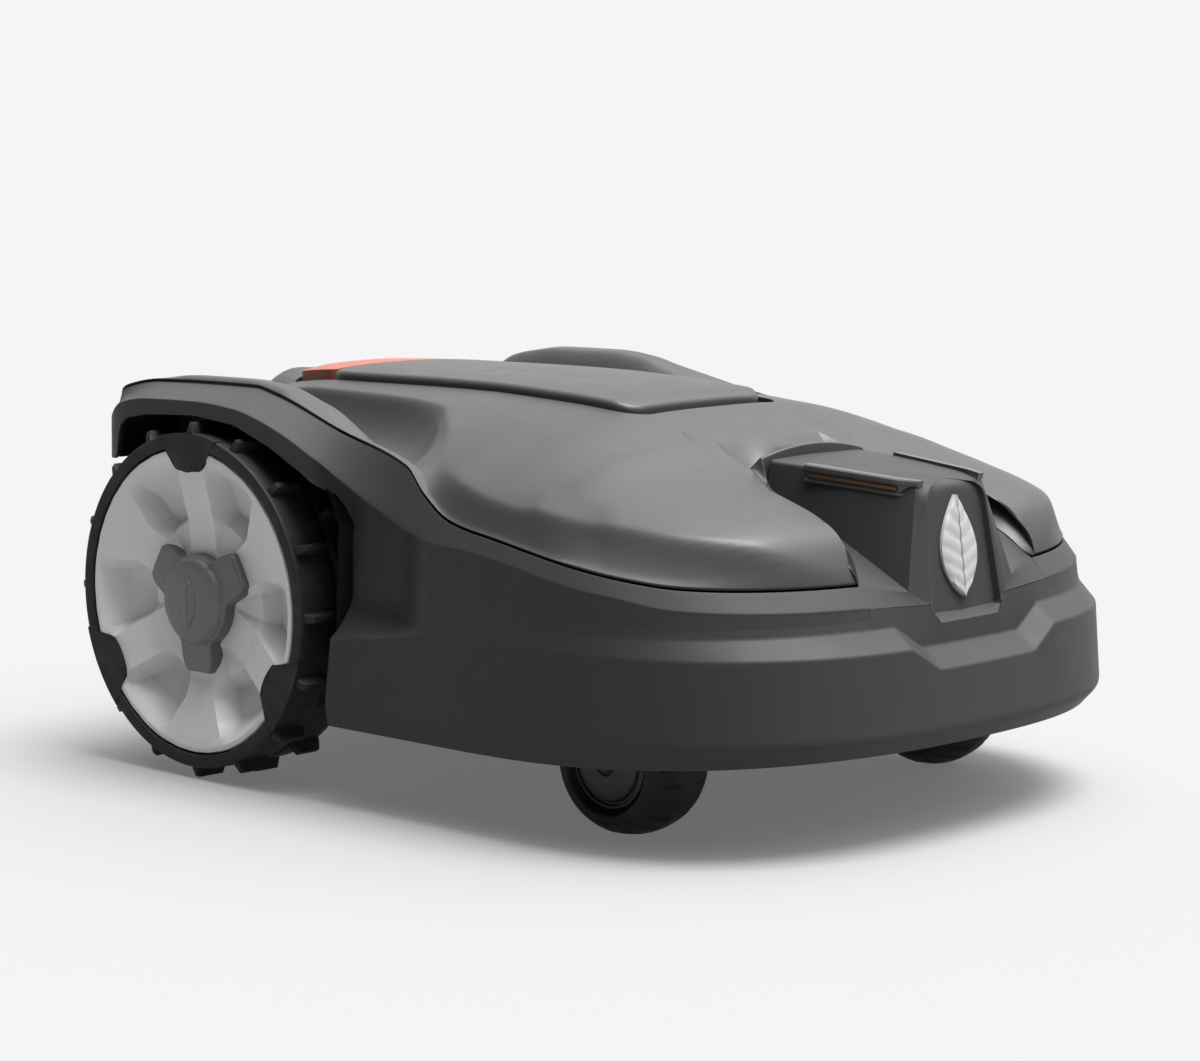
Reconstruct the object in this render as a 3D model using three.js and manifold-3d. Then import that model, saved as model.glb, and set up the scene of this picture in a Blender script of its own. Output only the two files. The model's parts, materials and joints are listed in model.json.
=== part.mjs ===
// Robotic lawn mower, built as a real one comes apart on a bench. Millimetres.
// +X is forward, +Y is the mower's left, +Z is up; the origin is on the ground under the body's centre.
import * as THREE from "three";
import { mergeVertices } from "three/addons/utils/BufferGeometryUtils.js";
import Module from "manifold-3d";

const wasm = await Module();
wasm.setup();

// ---------------------------------------------------------------- driving dimensions
const GAP = 0.3; // clearance between faces that touch
const WALL = 3; // moulded wall

const FRONT_CENTRE_X = 100; // the plan outline: a superellipse in front, straight sides, rounded rear
const REAR_CENTRE_X = -205;
const FRONT_POWER = 2.45;
const REAR_POWER = 2.9;
const SEAM = { front: 155, side: 200, rear: 66 }; // where the top cover meets the lower body

const CONSOLE_X = 148; // rear end of the raised charging console

const LID = { rear: -203, front: 57, half: 62, corner: 14 };
const RECESS = { rear: -243, front: 70, half: 65, floor: 226, pit: 219 };
const HINGE = { x: 60, z: 223.5, r: 3.4, pin: 2 };
const STOP = { rear: -241, front: -206, half: 56, z: 223.5 };

const AXLE = { x: -166, z: 109.5 }; // driven rear wheels
const WHEEL = { face: 213, back: 158, ring: 102.5, lug: 109.5, rim: 92, lugs: 16, cap: 215 };
const SHAFT_R = 8;

const CASTER = { x: 145, y: 138, trail: 12, r: 44, half: 25, hub: 27, stem: 10, axle: 6 };

const CHASSIS = { rear: -252, step: 86, nose: 205, half: 138, noseHalf: 72, wing: 162 };
const LEVEL = { floor: 62, wing: 95, split: 110, lid: 116, roof: 168, tower: 196 };

const CUT_X = -30; // cutting disc axis
const DISC = { r: 88, z: 52, t: 2.5, pivot: 80, blades: 3 };
const SKID = { r: 72, z: 43.5, t: 3 };
const MOTOR = { r: 34, bottom: 66, top: 112 };
const SCREW = { x: 22, r: 6 };

const POSTS = [["rear", -225, 80], ["front", 60, 112]]; // body suspension posts, each on both sides
const POST = { r: 8, top: 204.5 };

// ---------------------------------------------------------------- materials
const finish = (color, roughness, metalness = 0) =>
  new THREE.MeshStandardMaterial({ color, roughness, metalness });
const BODY = finish(0x3a3b3c, 0.55);
const COVER = finish(0x6a6b6c, 0.45);
const LIGHT = finish(0xb4b5b6, 0.5);
const CAP = finish(0x5c5d5f, 0.5);
const RUBBER = finish(0x161617, 0.85);
const BLACK = finish(0x1c1d1e, 0.6);
const ORANGE = finish(0xd2583a, 0.5);
const STEEL = finish(0x9a9c9e, 0.35, 1);
const COPPER = finish(0x9c6b43, 0.4, 1);
const WINDOW = finish(0x20282a, 0.15);
const CIRCUIT = finish(0x24513a, 0.6);

// ---------------------------------------------------------------- solids
// A closed three.js geometry as a manifold-3d solid.
function solid(geometry) {
  const bare = geometry.index ? geometry.toNonIndexed() : geometry.clone();
  bare.deleteAttribute("normal");
  bare.deleteAttribute("uv");
  const merged = mergeVertices(bare, 1e-3);
  const vertProperties = merged.attributes.position.array;
  const triVerts = new Uint32Array(merged.index.array);
  return new wasm.Manifold(new wasm.Mesh({ numProp: 3, vertProperties, triVerts }));
}

function geometryOf(made) {
  const mesh = made.getMesh();
  const geometry = new THREE.BufferGeometry();
  geometry.setAttribute("position", new THREE.BufferAttribute(mesh.vertProperties, 3));
  geometry.setIndex(new THREE.BufferAttribute(mesh.triVerts, 1));
  const flat = geometry.toNonIndexed();
  flat.computeVertexNormals();
  return flat;
}

const join = (first, ...rest) => rest.reduce((sum, piece) => sum.add(piece), first);
const cut = (first, ...rest) => rest.reduce((left, tool) => left.subtract(tool), first);

const block = (x0, x1, y0, y1, z0, z1) =>
  solid(new THREE.BoxGeometry(x1 - x0, y1 - y0, z1 - z0)
    .translate((x0 + x1) / 2, (y0 + y1) / 2, (z0 + z1) / 2));

// A plan outline, extruded upwards from z0 to z1.
function plate(points, z0, z1) {
  const shape = new THREE.Shape(points.map(([x, y]) => new THREE.Vector2(x, y)));
  const options = { depth: z1 - z0, bevelEnabled: false, curveSegments: 4 };
  return solid(new THREE.ExtrudeGeometry(shape, options).translate(0, 0, z0));
}

// A side outline of x and z, extruded along y from y0 to y1.
function sidePlate(points, y0, y1) {
  const shape = new THREE.Shape(points.map(([x, z]) => new THREE.Vector2(x, z)));
  const options = { depth: y1 - y0, bevelEnabled: false };
  const made = new THREE.ExtrudeGeometry(shape, options).rotateX(Math.PI / 2);
  return solid(made.translate(0, y1, 0));
}

const upright = (r, z0, z1, x = 0, y = 0, sides = 20) =>
  solid(new THREE.CylinderGeometry(r, r, z1 - z0, sides).rotateX(Math.PI / 2)
    .translate(x, y, (z0 + z1) / 2));

const crosswise = (r, y0, y1, x, z, sides = 20) =>
  solid(new THREE.CylinderGeometry(r, r, y1 - y0, sides).translate(x, (y0 + y1) / 2, z));

// A profile of radius and height, turned about +Z.
const turned = (profile, sides) =>
  solid(new THREE.LatheGeometry(profile.map(([r, h]) => new THREE.Vector2(r, h)), sides)
    .rotateX(Math.PI / 2));

// A profile of radius and distance from the mower's centre plane, turned about a wheel's axle.
const wheelTurned = (profile, sides, { x, z }) =>
  solid(new THREE.LatheGeometry(profile.map(([r, h]) => new THREE.Vector2(r, h)), sides)
    .translate(x, 0, z));

const mirrored = (made) => made.mirror([0, 1, 0]);

function roundedPlan(x0, x1, half, corner) {
  const points = [];
  const corners = [[x1, half, 0], [x0, half, 90], [x0, -half, 180], [x1, -half, 270]];
  for (const [x, y, start] of corners)
    for (let step = 0; step <= 2; step++) {
      const angle = ((start + step * 45) * Math.PI) / 180;
      const cx = x - Math.sign(x - (x0 + x1) / 2) * corner;
      const cy = y - Math.sign(y) * corner;
      points.push([cx + corner * Math.cos(angle), cy + corner * Math.sin(angle)]);
    }
  return points;
}

// ---------------------------------------------------------------- body surface
const smoothMax = (a, b, blend) => {
  const h = Math.min(1, Math.max(0, 0.5 + (0.5 * (a - b)) / blend));
  return b + (a - b) * h + blend * h * (1 - h);
};

// A smooth curve through points of x and value that never overshoots between them.
function through(points) {
  const slope = points.slice(1).map(([x, v], i) => (v - points[i][1]) / (x - points[i][0]));
  const tangent = points.map((_, i) => {
    if (i === 0) return slope[0];
    if (i === points.length - 1) return slope[i - 1];
    const [a, b] = [slope[i - 1], slope[i]];
    return a * b <= 0 ? 0 : (2 * a * b) / (a + b);
  });
  return (x) => {
    let i = points.findIndex(([px]) => px > x) - 1;
    if (x <= points[0][0]) return points[0][1];
    if (i < 0) return points[points.length - 1][1];
    const [x0, v0] = points[i];
    const [x1, v1] = points[i + 1];
    const span = x1 - x0;
    const t = (x - x0) / span;
    const rise = t * t * (3 - 2 * t);
    return v0 + (v1 - v0) * rise + span * t * (1 - t) * ((1 - t) * tangent[i] - t * tangent[i + 1]);
  };
}

// Heights along the mower, rear to front: the crown on the centre line, the soft edge where the
// top turns down, the foot of the slope beyond it, the seam, and the pod over each rear wheel.
const crownZ = through([[-290, 200], [-270, 217], [-243, 228], [-190, 235], [-110, 237],
  [-20, 236], [60, 231], [110, 221], [150, 209], [190, 197], [225, 186], [262, 168]]);
const edgeShare = through([[-290, 0.42], [-187, 0.44], [-102, 0.49], [-50, 0.555],
  [-20, 0.64], [7, 0.73], [40, 0.82], [70, 0.85], [160, 0.87]]);
const edgeZ = through([[-290, 192], [-240, 221], [-187, 230], [-102, 231], [-50, 230],
  [-28, 225], [0, 211], [20, 203], [40, 197], [70, 188], [96, 182], [126, 178], [155, 176],
  [190, 173], [262, 160]]);
const footZ = through([[-290, 188], [-240, 208], [-100, 213], [-42, 210], [14, 201], [27, 189],
  [47, 177.5], [60, 173], [84, 169], [108, 165], [142, 158], [173, 153], [200, 149], [262, 147]]);
const seamZ = through([[-290, 198], [-262, 226], [-235, 238.5], [-205, 241.5], [-116, 243],
  [-100, 240], [-42, 222], [14, 205], [27, 191], [47, 177.5], [60, 173.6], [84, 169.6],
  [108, 165.4], [142, 158.5], [173, 155], [200, 150], [262, 147]]);
const podZ = through([[-290, 190], [-262, 226], [-235, 240], [-200, 245], [-120, 245],
  [-90, 238], [-60, 226], [-30, 200], [0, 160]]);
const POD_Y = 168;

// The half width of the plan outline at x.
function halfWidth(x, { front, side, rear }) {
  const ahead = Math.min(1, Math.max(0, (x - FRONT_CENTRE_X) / front));
  const behind = Math.min(1, Math.max(0, (REAR_CENTRE_X - x) / rear));
  const width = ahead > 0 ? (1 - ahead ** FRONT_POWER) ** (1 / FRONT_POWER)
    : (1 - behind ** REAR_POWER) ** (1 / REAR_POWER);
  return side * width;
}

function topZ(x, y) {
  const across = Math.abs(y);
  const share = Math.min(1, across / Math.max(1, halfWidth(x, SEAM)));
  const edge = edgeShare(x);
  const crown = crownZ(x);
  let z = crown - (crown - edgeZ(x)) * (share / edge) ** 2.7;
  if (share > edge) {
    const beyond = (share - edge) / (1 - edge);
    z = footZ(x) + (edgeZ(x) - footZ(x)) * (1 - beyond) ** 1.8;
  }
  const out = (across - POD_Y) / (SEAM.side - POD_Y);
  const pod = out > 0 ? podZ(x) + (seamZ(x) - podZ(x)) * out * out
    : podZ(x) - 25 * (Math.max(0, POD_Y - 14 - across) / 25) ** 1.5;
  return x < 0 ? smoothMax(z, pod, 5) : z;
}

// The plan outline in steps: round the front, along the side, round the rear.
const FRONT_STEPS = 8;
const REAR_STEPS = 5;
const SIDE_XS = [100, 60, 44, 27, 10, -20, -45, -75, -105, -150];
const HALF_STEPS = FRONT_STEPS + SIDE_XS.length + REAR_STEPS;

// One point of the plan outline; step runs from 0 at the nose to HALF_STEPS at the tail.
function outlinePoint(step, plan) {
  const { front, side, rear } = plan;
  if (step < FRONT_STEPS) {
    const angle = (step / FRONT_STEPS) * (Math.PI / 2);
    return [FRONT_CENTRE_X + front * Math.cos(angle) ** (2 / FRONT_POWER),
      side * Math.sin(angle) ** (2 / FRONT_POWER)];
  }
  if (step < FRONT_STEPS + SIDE_XS.length) return [SIDE_XS[step - FRONT_STEPS], side];
  const angle = ((step - FRONT_STEPS - SIDE_XS.length) / REAR_STEPS) * (Math.PI / 2);
  return [REAR_CENTRE_X - rear * Math.sin(angle) ** (2 / REAR_POWER),
    side * Math.max(0, Math.cos(angle)) ** (2 / REAR_POWER)];
}

const bottomZ = through([[-290, 72], [-232, 72], [-228, 47], [60, 47], [190, 51], [290, 56]]);
const ledgeDrop = (x, y) =>
  (x < 200 ? 0 : 13.5 * Math.min(1, Math.max(0, (66 - Math.abs(y)) / 22)));

// The body's outer surface as stacked rings, each a plan outline and a height.
const RINGS = [
  { front: 176, side: 206, rear: 74, z: (x) => bottomZ(x) },
  { front: 184, side: 208.5, rear: 79, z: () => 80 },
  { front: 173, side: 207.5, rear: 78, z: (x, y) => 112 - ledgeDrop(x, y) },
  { front: 165.5, side: 205.5, rear: 77, z: (x, y) => 123.5 - ledgeDrop(x, y) },
  { front: 163, side: 204.5, rear: 73, z: (x) => seamZ(x) - 12 },
  { ...SEAM, z: (x) => seamZ(x) },
];
const TOP_SHARES = [0.94, 0.85, 0.74, 0.62, 0.48, 0.3, 0];

// The whole body as one closed solid, drawn in by inset all over; sunk lowers its underside.
function bodySolid(inset, sunk) {
  const rows = RINGS.map((ring, index) => {
    const plan = { front: ring.front - inset, side: ring.side - inset, rear: ring.rear - inset };
    const lower = index === 0 ? sunk : index >= 4 ? inset : 0;
    return Array.from({ length: HALF_STEPS + 1 }, (_, step) => {
      const [x, y] = outlinePoint(step, plan);
      return [x, y, ring.z(x, y) - lower];
    });
  });
  const last = { front: SEAM.front - inset, side: SEAM.side - inset, rear: SEAM.rear - inset };
  for (const share of TOP_SHARES)
    rows.push(Array.from({ length: HALF_STEPS + 1 }, (_, step) => {
      const [x, y] = outlinePoint(step, last);
      const spine = Math.min(FRONT_CENTRE_X, Math.max(REAR_CENTRE_X, x));
      const px = spine + (x - spine) * share;
      return [px, y * share, topZ(px, y * share) - inset];
    }));
  return solid(ringsGeometry(rows));
}

// Closes rows of half-outline points, mirrored about y = 0, into one surface.
function ringsGeometry(rows) {
  const triangles = [];
  const across = ([x, y, z]) => [x, -y, z];
  const face = (a, b, c) => {
    triangles.push(a, b, c);
    triangles.push(across(a), across(c), across(b));
  };
  for (let row = 0; row + 1 < rows.length; row++)
    for (let step = 0; step < HALF_STEPS; step++) {
      const [low, high] = [rows[row], rows[row + 1]];
      face(low[step], low[step + 1], high[step + 1]);
      face(low[step], high[step + 1], high[step]);
    }
  const base = rows[0];
  for (let step = 0; step < HALF_STEPS; step++) {
    const here = [base[step][0], 0, base[step][2]];
    const next = [base[step + 1][0], 0, base[step + 1][2]];
    face(base[step + 1], base[step], here);
    face(base[step + 1], here, next);
  }
  return new THREE.BufferGeometry().setAttribute("position",
    new THREE.Float32BufferAttribute(withoutSlivers(triangles).flat(), 3));
}

// Drops triangles that two equal corners have closed up.
function withoutSlivers(corners) {
  const key = (p) => p.map((v) => v.toFixed(3).replace("-0.000", "0.000")).join();
  const kept = [];
  for (let i = 0; i < corners.length; i += 3) {
    const keys = new Set([key(corners[i]), key(corners[i + 1]), key(corners[i + 2])]);
    if (keys.size === 3) kept.push(corners[i], corners[i + 1], corners[i + 2]);
  }
  return kept;
}

// Everything above the seam along the sides, moved by shift.
function aboveSeam(shift) {
  const top = 300;
  const rear = -257 + shift;
  const xs = [rear, -248, -235, -220, -205, ...SIDE_XS.toReversed(),
    120, 135, 150, 165, 180, 195, 210, 225, 240, 262, 300];
  const points = xs.map((x) => [x, seamZ(x) + shift]);
  return sidePlate([...points, [300, top], [rear, top]], -260, 260);
}

// Everything inside the seam outline, less a margin: the whole of the top.
function insideSeam(margin) {
  const plan = { front: SEAM.front - margin, side: SEAM.side - margin, rear: SEAM.rear - margin };
  const half = Array.from({ length: HALF_STEPS + 1 }, (_, step) => outlinePoint(step, plan));
  const back = half.slice(1, -1).reverse().map(([x, y]) => [x, -y]);
  return plate([...half, ...back], 130, 300);
}

// The cover's edge beside the console, and the height of the channel floor along it.
const notchEdge = [[CONSOLE_X, 47], [165, 58], [188, 68], [206, 74], [230, 78.5], [300, 80]];
const channelFloor = [[CONSOLE_X - 5, 193], [165, 191], [206, 173], [230, 162.5], [249, 148],
  [300, 146]];

const notch = (spread) => {
  const side = notchEdge.map(([x, y], i) => [i ? x : x - spread, y + spread]);
  return plate([...side.map(([x, y]) => [x, -y]), ...side.toReversed()], 100, 300);
};

const recess = (grow) => join(
  plate(roundedPlan(RECESS.rear - grow, RECESS.front + grow, RECESS.half + grow, LID.corner),
    RECESS.floor - grow, 300),
  plate(roundedPlan(44 - grow, RECESS.front + grow, RECESS.half + grow, 8), RECESS.pit - grow, 230),
  block(RECESS.rear + 2 - grow, STOP.front + 2 + grow, -STOP.half - 2 - grow,
    STOP.half + 2 + grow, RECESS.pit - grow, 230));

const outer = bodySolid(0, 0);
const inner = bodySolid(WALL, 40);
const shell = cut(outer, recess(0)).subtract(cut(inner, recess(WALL)));

// The opening for each rear wheel, open towards the rear below the mudguard.
const archPoints = [[-41, 20], [-41, 163], [-51, 183], [-99, 208], [-131, 219], [-168, 222.5],
  [-245, 216], [-249, 194], [-310, 190], [-310, 20]];
const arches = join(sidePlate(archPoints, 148, 260), sidePlate(archPoints, -260, -148));

// The console that carries the charging contacts and slopes down into the nose.
// Sections along x, each half of one: top, top edge, foot of its side wall, outer edge.
const consoleSections = [
  { x: 148, top: 207, half: 42, foot: [45, 193], rim: [50, 192] },
  { x: 180, top: 204.5, half: 39.5, foot: [46, 180], rim: [65, 183] },
  { x: 206, top: 202.5, half: 37, foot: [46.7, 167.5], rim: [73, 172] },
  { x: 230, top: 200, half: 33.5, foot: [47.2, 155.5], rim: [78, 161.5] },
  { x: 248, top: 197.5, half: 30, foot: [47.8, 146.3], rim: [79, 147.5] },
  { x: 254, top: 190, half: 29.5, foot: [47, 141], rim: [79, 142] },
  { x: 262, top: 127, half: 27, foot: [34, 124.5], rim: [79, 122.5] },
];
function consoleSolid(inset, base) {
  const rows = consoleSections.map(({ x, top, half, foot, rim }) => {
    const side = [[half - inset, top - inset], [foot[0] - inset, foot[1] - inset],
      [rim[0] - inset, rim[1] - inset], [rim[0] - inset, base]];
    const other = side.map(([y, z]) => [-y, z]).reverse();
    return [...side, ...other].map(([y, z]) => [x, y, z]);
  });
  rows[0] = rows[0].map(([x, y, z]) => [x + inset, y, z]);
  if (inset) rows.length = 5;
  return solid(lofted(rows));
}

// Closes a row of equal sections into a solid; each section runs one way round.
function lofted(rows) {
  const triangles = [];
  const count = rows[0].length;
  for (let row = 0; row + 1 < rows.length; row++)
    for (let i = 0; i < count; i++) {
      const j = (i + 1) % count;
      triangles.push(rows[row][i], rows[row + 1][j], rows[row][j]);
      triangles.push(rows[row][i], rows[row + 1][i], rows[row + 1][j]);
    }
  const pairs = count / 2;
  for (const [section, facing] of [[rows[0], 1], [rows.at(-1), -1]])
    for (let i = 0; i + 1 < pairs; i++) {
      const quad = [section[i], section[count - 1 - i], section[count - 2 - i], section[i + 1]];
      const order = facing > 0 ? [0, 2, 1, 0, 3, 2] : [0, 1, 2, 0, 2, 3];
      order.forEach((corner) => triangles.push(quad[corner]));
    }
  return new THREE.BufferGeometry().setAttribute("position",
    new THREE.Float32BufferAttribute(triangles.flat(), 3));
}

const HOLDER = [68, 4, 9]; // length, depth and height of a contact holder

// A bar along one top edge of the console, out from its centre and below its top by so much.
function contactBar(side, [length, depth, height], out, below) {
  const bar = new THREE.BoxGeometry(length, depth, height)
    .translate(0, side * out, -below).rotateY(Math.atan2(5.5, 68))
    .rotateZ(-side * Math.atan2(9, 68)).translate(208, side * 38.6, 201.5);
  return solid(bar);
}

function lowerBody() {
  const skin = cut(shell, aboveSeam(-GAP / 2), insideSeam(11.7), arches);
  const seat = HOLDER.map((size) => size + 2 * GAP);
  const seats = [1, -1].map((side) => contactBar(side, seat, 0, 5));
  const nose = cut(consoleSolid(0, 119.5), consoleSolid(WALL, 100), ...seats);
  return join(skin, nose.intersect(insideNose()));
}

// Keeps the console inside the lower body's front face.
const insideNose = () => block(CONSOLE_X - 1, 263, -80, 80, 100, 230);

// ---------------------------------------------------------------- body parts
const controlHole = () => plate(roundedPlan(-168, 40, 54, 10), 200, 240);

function topCover() {
  const region = join(aboveSeam(GAP / 2), insideSeam(12));
  const sockets = POSTS.flatMap(([, x, y]) => [y, -y].map((py) =>
    upright(14, POST.top + GAP, 224, x, py, 16).intersect(outer)));
  const lugs = [48, -48].map((y) => block(HINGE.x - 4, HINGE.x + 4, y - 3, y + 3,
    RECESS.pit - 1, HINGE.z + 4));
  const floorLine = channelFloor.map(([x, z]) => [x, z + GAP]);
  const aboveFloor = sidePlate([...floorLine, [300, 300], [CONSOLE_X - 5, 300]], -100, 100);
  const channelWalls = notch(WALL + GAP).intersect(outer).intersect(aboveFloor);
  const skin = join(shell.intersect(region), channelWalls, ...sockets, ...lugs);
  return cut(skin, notch(GAP), controlHole(),
    crosswise(HINGE.pin + GAP, -60, 60, HINGE.x, HINGE.z, 12));
}

const lift = 1.5; // the lid and the stop bar stand this proud of the cover

function hatchLid() {
  const plan = roundedPlan(LID.rear, LID.front, LID.half, LID.corner);
  const within = roundedPlan(LID.rear + WALL, LID.front - WALL, LID.half - WALL, LID.corner - WALL);
  const skin = outer.translate([0, 0, lift]).intersect(plate(plan, 227.5, 260));
  const hollow = outer.translate([0, 0, lift - 2.5]).intersect(plate(within, 220, 260));
  const arms = [36, -36].map((y) => join(
    crosswise(HINGE.r, y - 7, y + 7, HINGE.x, HINGE.z, 16),
    sidePlate([[HINGE.x + 2, HINGE.z - 2], [HINGE.x + 1, 229.5], [47, 231.5], [47, 229],
      [HINGE.x - 3, 226]], y - 7, y + 7)));
  return cut(join(cut(skin, hollow), ...arms),
    crosswise(HINGE.pin + GAP, -60, 60, HINGE.x, HINGE.z, 12));
}

const hatchPin = () => crosswise(HINGE.pin, -50, 50, HINGE.x, HINGE.z, 12);

const stopBar = () => outer.translate([0, 0, lift]).intersect(
  plate(roundedPlan(STOP.rear, STOP.front, STOP.half, 6), STOP.z, 260));

// A leaf on a stem, standing on the sloping nose face.
function noseBadge() {
  const leaf = new THREE.Shape();
  leaf.moveTo(0, -24);
  leaf.quadraticCurveTo(17, -6, 0, 26);
  leaf.quadraticCurveTo(-17, -6, 0, -24);
  const made = new THREE.ExtrudeGeometry(leaf, { depth: 1.6, bevelEnabled: false, curveSegments: 8 });
  const tilt = Math.atan2(8.5, 64);
  made.rotateX(Math.PI / 2).rotateZ(Math.PI / 2).rotateY(-tilt);
  return solid(made.translate(257.9, 0, 164));
}

const contactHolder = (side) => cut(contactBar(side, HOLDER, 0, 5),
  contactBar(side, [62, 2, 3.6], 1.6, 4.5));
const contactStrip = (side) => contactBar(side, [61.4, 1.2, 3], 1.5, 4.5);

const suspensionPost = (x, y) => join(upright(POST.r, LEVEL.roof + 0.4, POST.top, x, y, 16),
  upright(13, LEVEL.roof + 0.4, LEVEL.roof + 12, x, y, 16));

// ---------------------------------------------------------------- chassis
const corePlan = (grow = 0) => roundedPlan(CHASSIS.rear - grow, CHASSIS.step + grow,
  CHASSIS.half + grow, 22);
const nosePlan = (grow = 0) => roundedPlan(40, CHASSIS.nose + grow, CHASSIS.noseHalf + grow, 18);
const wingPlan = (grow = 0) => roundedPlan(110 - grow, 186 + grow, CHASSIS.wing + grow, 18);

const casterBores = (r, z0, z1) => [1, -1].map((side) => upright(r, z0, z1, CASTER.x,
  side * CASTER.y));
const axleBores = () => crosswise(17, -160, 160, AXLE.x, AXLE.z, 20);

function chassisLower() {
  const { floor, wing, split } = LEVEL;
  const body = join(plate(corePlan(), floor, split), plate(nosePlan(), floor, split),
    plate(wingPlan(), wing, split), ...casterBores(18, wing, split));
  const room = join(plate(corePlan(-WALL), floor + WALL, split + 5),
    plate(nosePlan(-WALL), floor + WALL, split + 5), plate(wingPlan(-WALL), wing + WALL, split + 5));
  const posts = casterBores(18, wing + 1, split);
  const bay = block(84, 178, -58, 58, floor - 5, floor + 8);
  const tub = join(cut(body, room), ...posts);
  return cut(tub, ...casterBores(13 + GAP, wing - 5, split + 5), axleBores(), bay,
    upright(40, floor - 5, floor + 8, CUT_X, 0, 32));
}

function chassisUpper() {
  const { split, lid, roof, tower } = LEVEL;
  const under = split + 0.4;
  const body = join(plate(corePlan(), under, roof), plate(nosePlan(), under, lid),
    plate(wingPlan(), under, lid), plate(roundedPlan(-150, 34, 48, 10), roof - 5, tower));
  const room = join(plate(corePlan(-WALL), under - 5, roof - WALL),
    plate(nosePlan(-WALL), under - 5, lid - WALL), plate(wingPlan(-WALL), under - 5, lid - WALL),
    plate(roundedPlan(-147, 31, 45, 7), roof - 8, tower - WALL));
  return cut(body, room, axleBores(), upright(SCREW.r + 1, tower - 8, tower + 8, SCREW.x, 0));
}

const batteryPack = () => plate(roundedPlan(88, 174, 54, 6), LEVEL.floor + 4.5, 107);

const batteryCover = () => join(block(84.5, 177.5, -57.5, 57.5, LEVEL.floor, LEVEL.floor + 3),
  block(90, 172, -2, 2, LEVEL.floor - 2, LEVEL.floor + 1));

const mainBoard = () => join(block(-238, -100, -88, 88, 155, 157),
  block(-225, -205, -70, 70, 156, 161), block(-180, -140, -30, 30, 156, 162));

const gearMotor = (side) => {
  const made = join(crosswise(40, 96, 133.5, AXLE.x, AXLE.z, 20),
    crosswise(27, 30, 97, AXLE.x, AXLE.z, 16), crosswise(16, 133, 150, AXLE.x, AXLE.z, 16));
  const housing = cut(made, crosswise(SHAFT_R + GAP, 120, 155, AXLE.x, AXLE.z, 16));
  return side > 0 ? housing : mirrored(housing);
};

// ---------------------------------------------------------------- rear wheels
const sided = (side, made) => (side > 0 ? made : mirrored(made));

const driveShaft = (side) => sided(side, crosswise(SHAFT_R, 121, 196, AXLE.x, AXLE.z, 16));

// Turns a piece about a wheel's axle.
const aboutAxle = (made, degrees) => made.translate([-AXLE.x, 0, -AXLE.z])
  .rotate([0, degrees, 0]).translate([AXLE.x, 0, AXLE.z]);

function wheelRim(side) {
  const profile = [[SHAFT_R + GAP, 162], [26, 162], [30, 186], [84, 186], [86, 162],
    [WHEEL.rim, 162], [WHEEL.rim, 211], [88, 212], [78, 203], [50, 197], [SHAFT_R + GAP, 197],
    [SHAFT_R + GAP, 162]];
  const disc = wheelTurned(profile, 30, AXLE);
  const pocket = plate([[40, -5], [76, -22], [84, 0], [76, 22], [40, 5]], 190, 230)
    .rotate([-90, 0, 0]).translate([AXLE.x, 0, AXLE.z]);
  const pockets = Array.from({ length: 6 }, (_, i) => aboutAxle(pocket, i * 60));
  return sided(side, cut(disc, ...pockets));
}

function wheelTyre(side) {
  const { ring, rim, face, back, lug, lugs } = WHEEL;
  const band = wheelTurned([[rim + 1, back], [ring - 3, back], [ring, back + 4],
    [ring, face - 1.5], [ring - 1.5, face], [rim + 1, face], [rim + 1, back]], 32, AXLE);
  const lugBlock = (y0, y1) => block(AXLE.x - 5, AXLE.x + 5, y0, y1, AXLE.z - lug,
    AXLE.z - ring + 3);
  const turn = 360 / lugs;
  const treads = Array.from({ length: lugs }, (_, i) => [
    aboutAxle(lugBlock(184, 206), i * turn), aboutAxle(lugBlock(161, 182), (i + 0.5) * turn)]);
  const claw = plate([[rim - 12, -12], [rim - 12, 12], [rim + 3, 24], [rim + 3, -24]],
    face - 1 + GAP, face).rotate([-90, 0, 0]).translate([AXLE.x, 0, AXLE.z]);
  const claws = [90, 210, 330].map((angle) => aboutAxle(claw, -angle));
  return sided(side, join(band, ...treads.flat(), ...claws));
}

function hubCap(side) {
  const disc = wheelTurned([[0, 197 + GAP], [27, 197 + GAP], [29, 208], [24, 213],
    [10, WHEEL.cap], [0, WHEEL.cap]], 20, AXLE);
  const lobe = plate([[0, -14], [40, -9], [45, -5], [45, 5], [40, 9], [0, 14]], 197 + GAP, 208)
    .rotate([-90, 0, 0]).translate([AXLE.x, 0, AXLE.z]);
  return sided(side, join(disc, ...[30, 150, 270].map((angle) => aboutAxle(lobe, -angle))));
}

// ---------------------------------------------------------------- front casters
const casterWheelX = CASTER.x - CASTER.trail;

const stemBush = (side) => turned([[CASTER.stem + GAP, 95], [13, 95], [13, 111.5], [16.5, 111.5],
  [16.5, 113], [CASTER.stem + GAP, 113], [CASTER.stem + GAP, 95]], 20)
  .translate([CASTER.x, side * CASTER.y, 0]);

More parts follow.
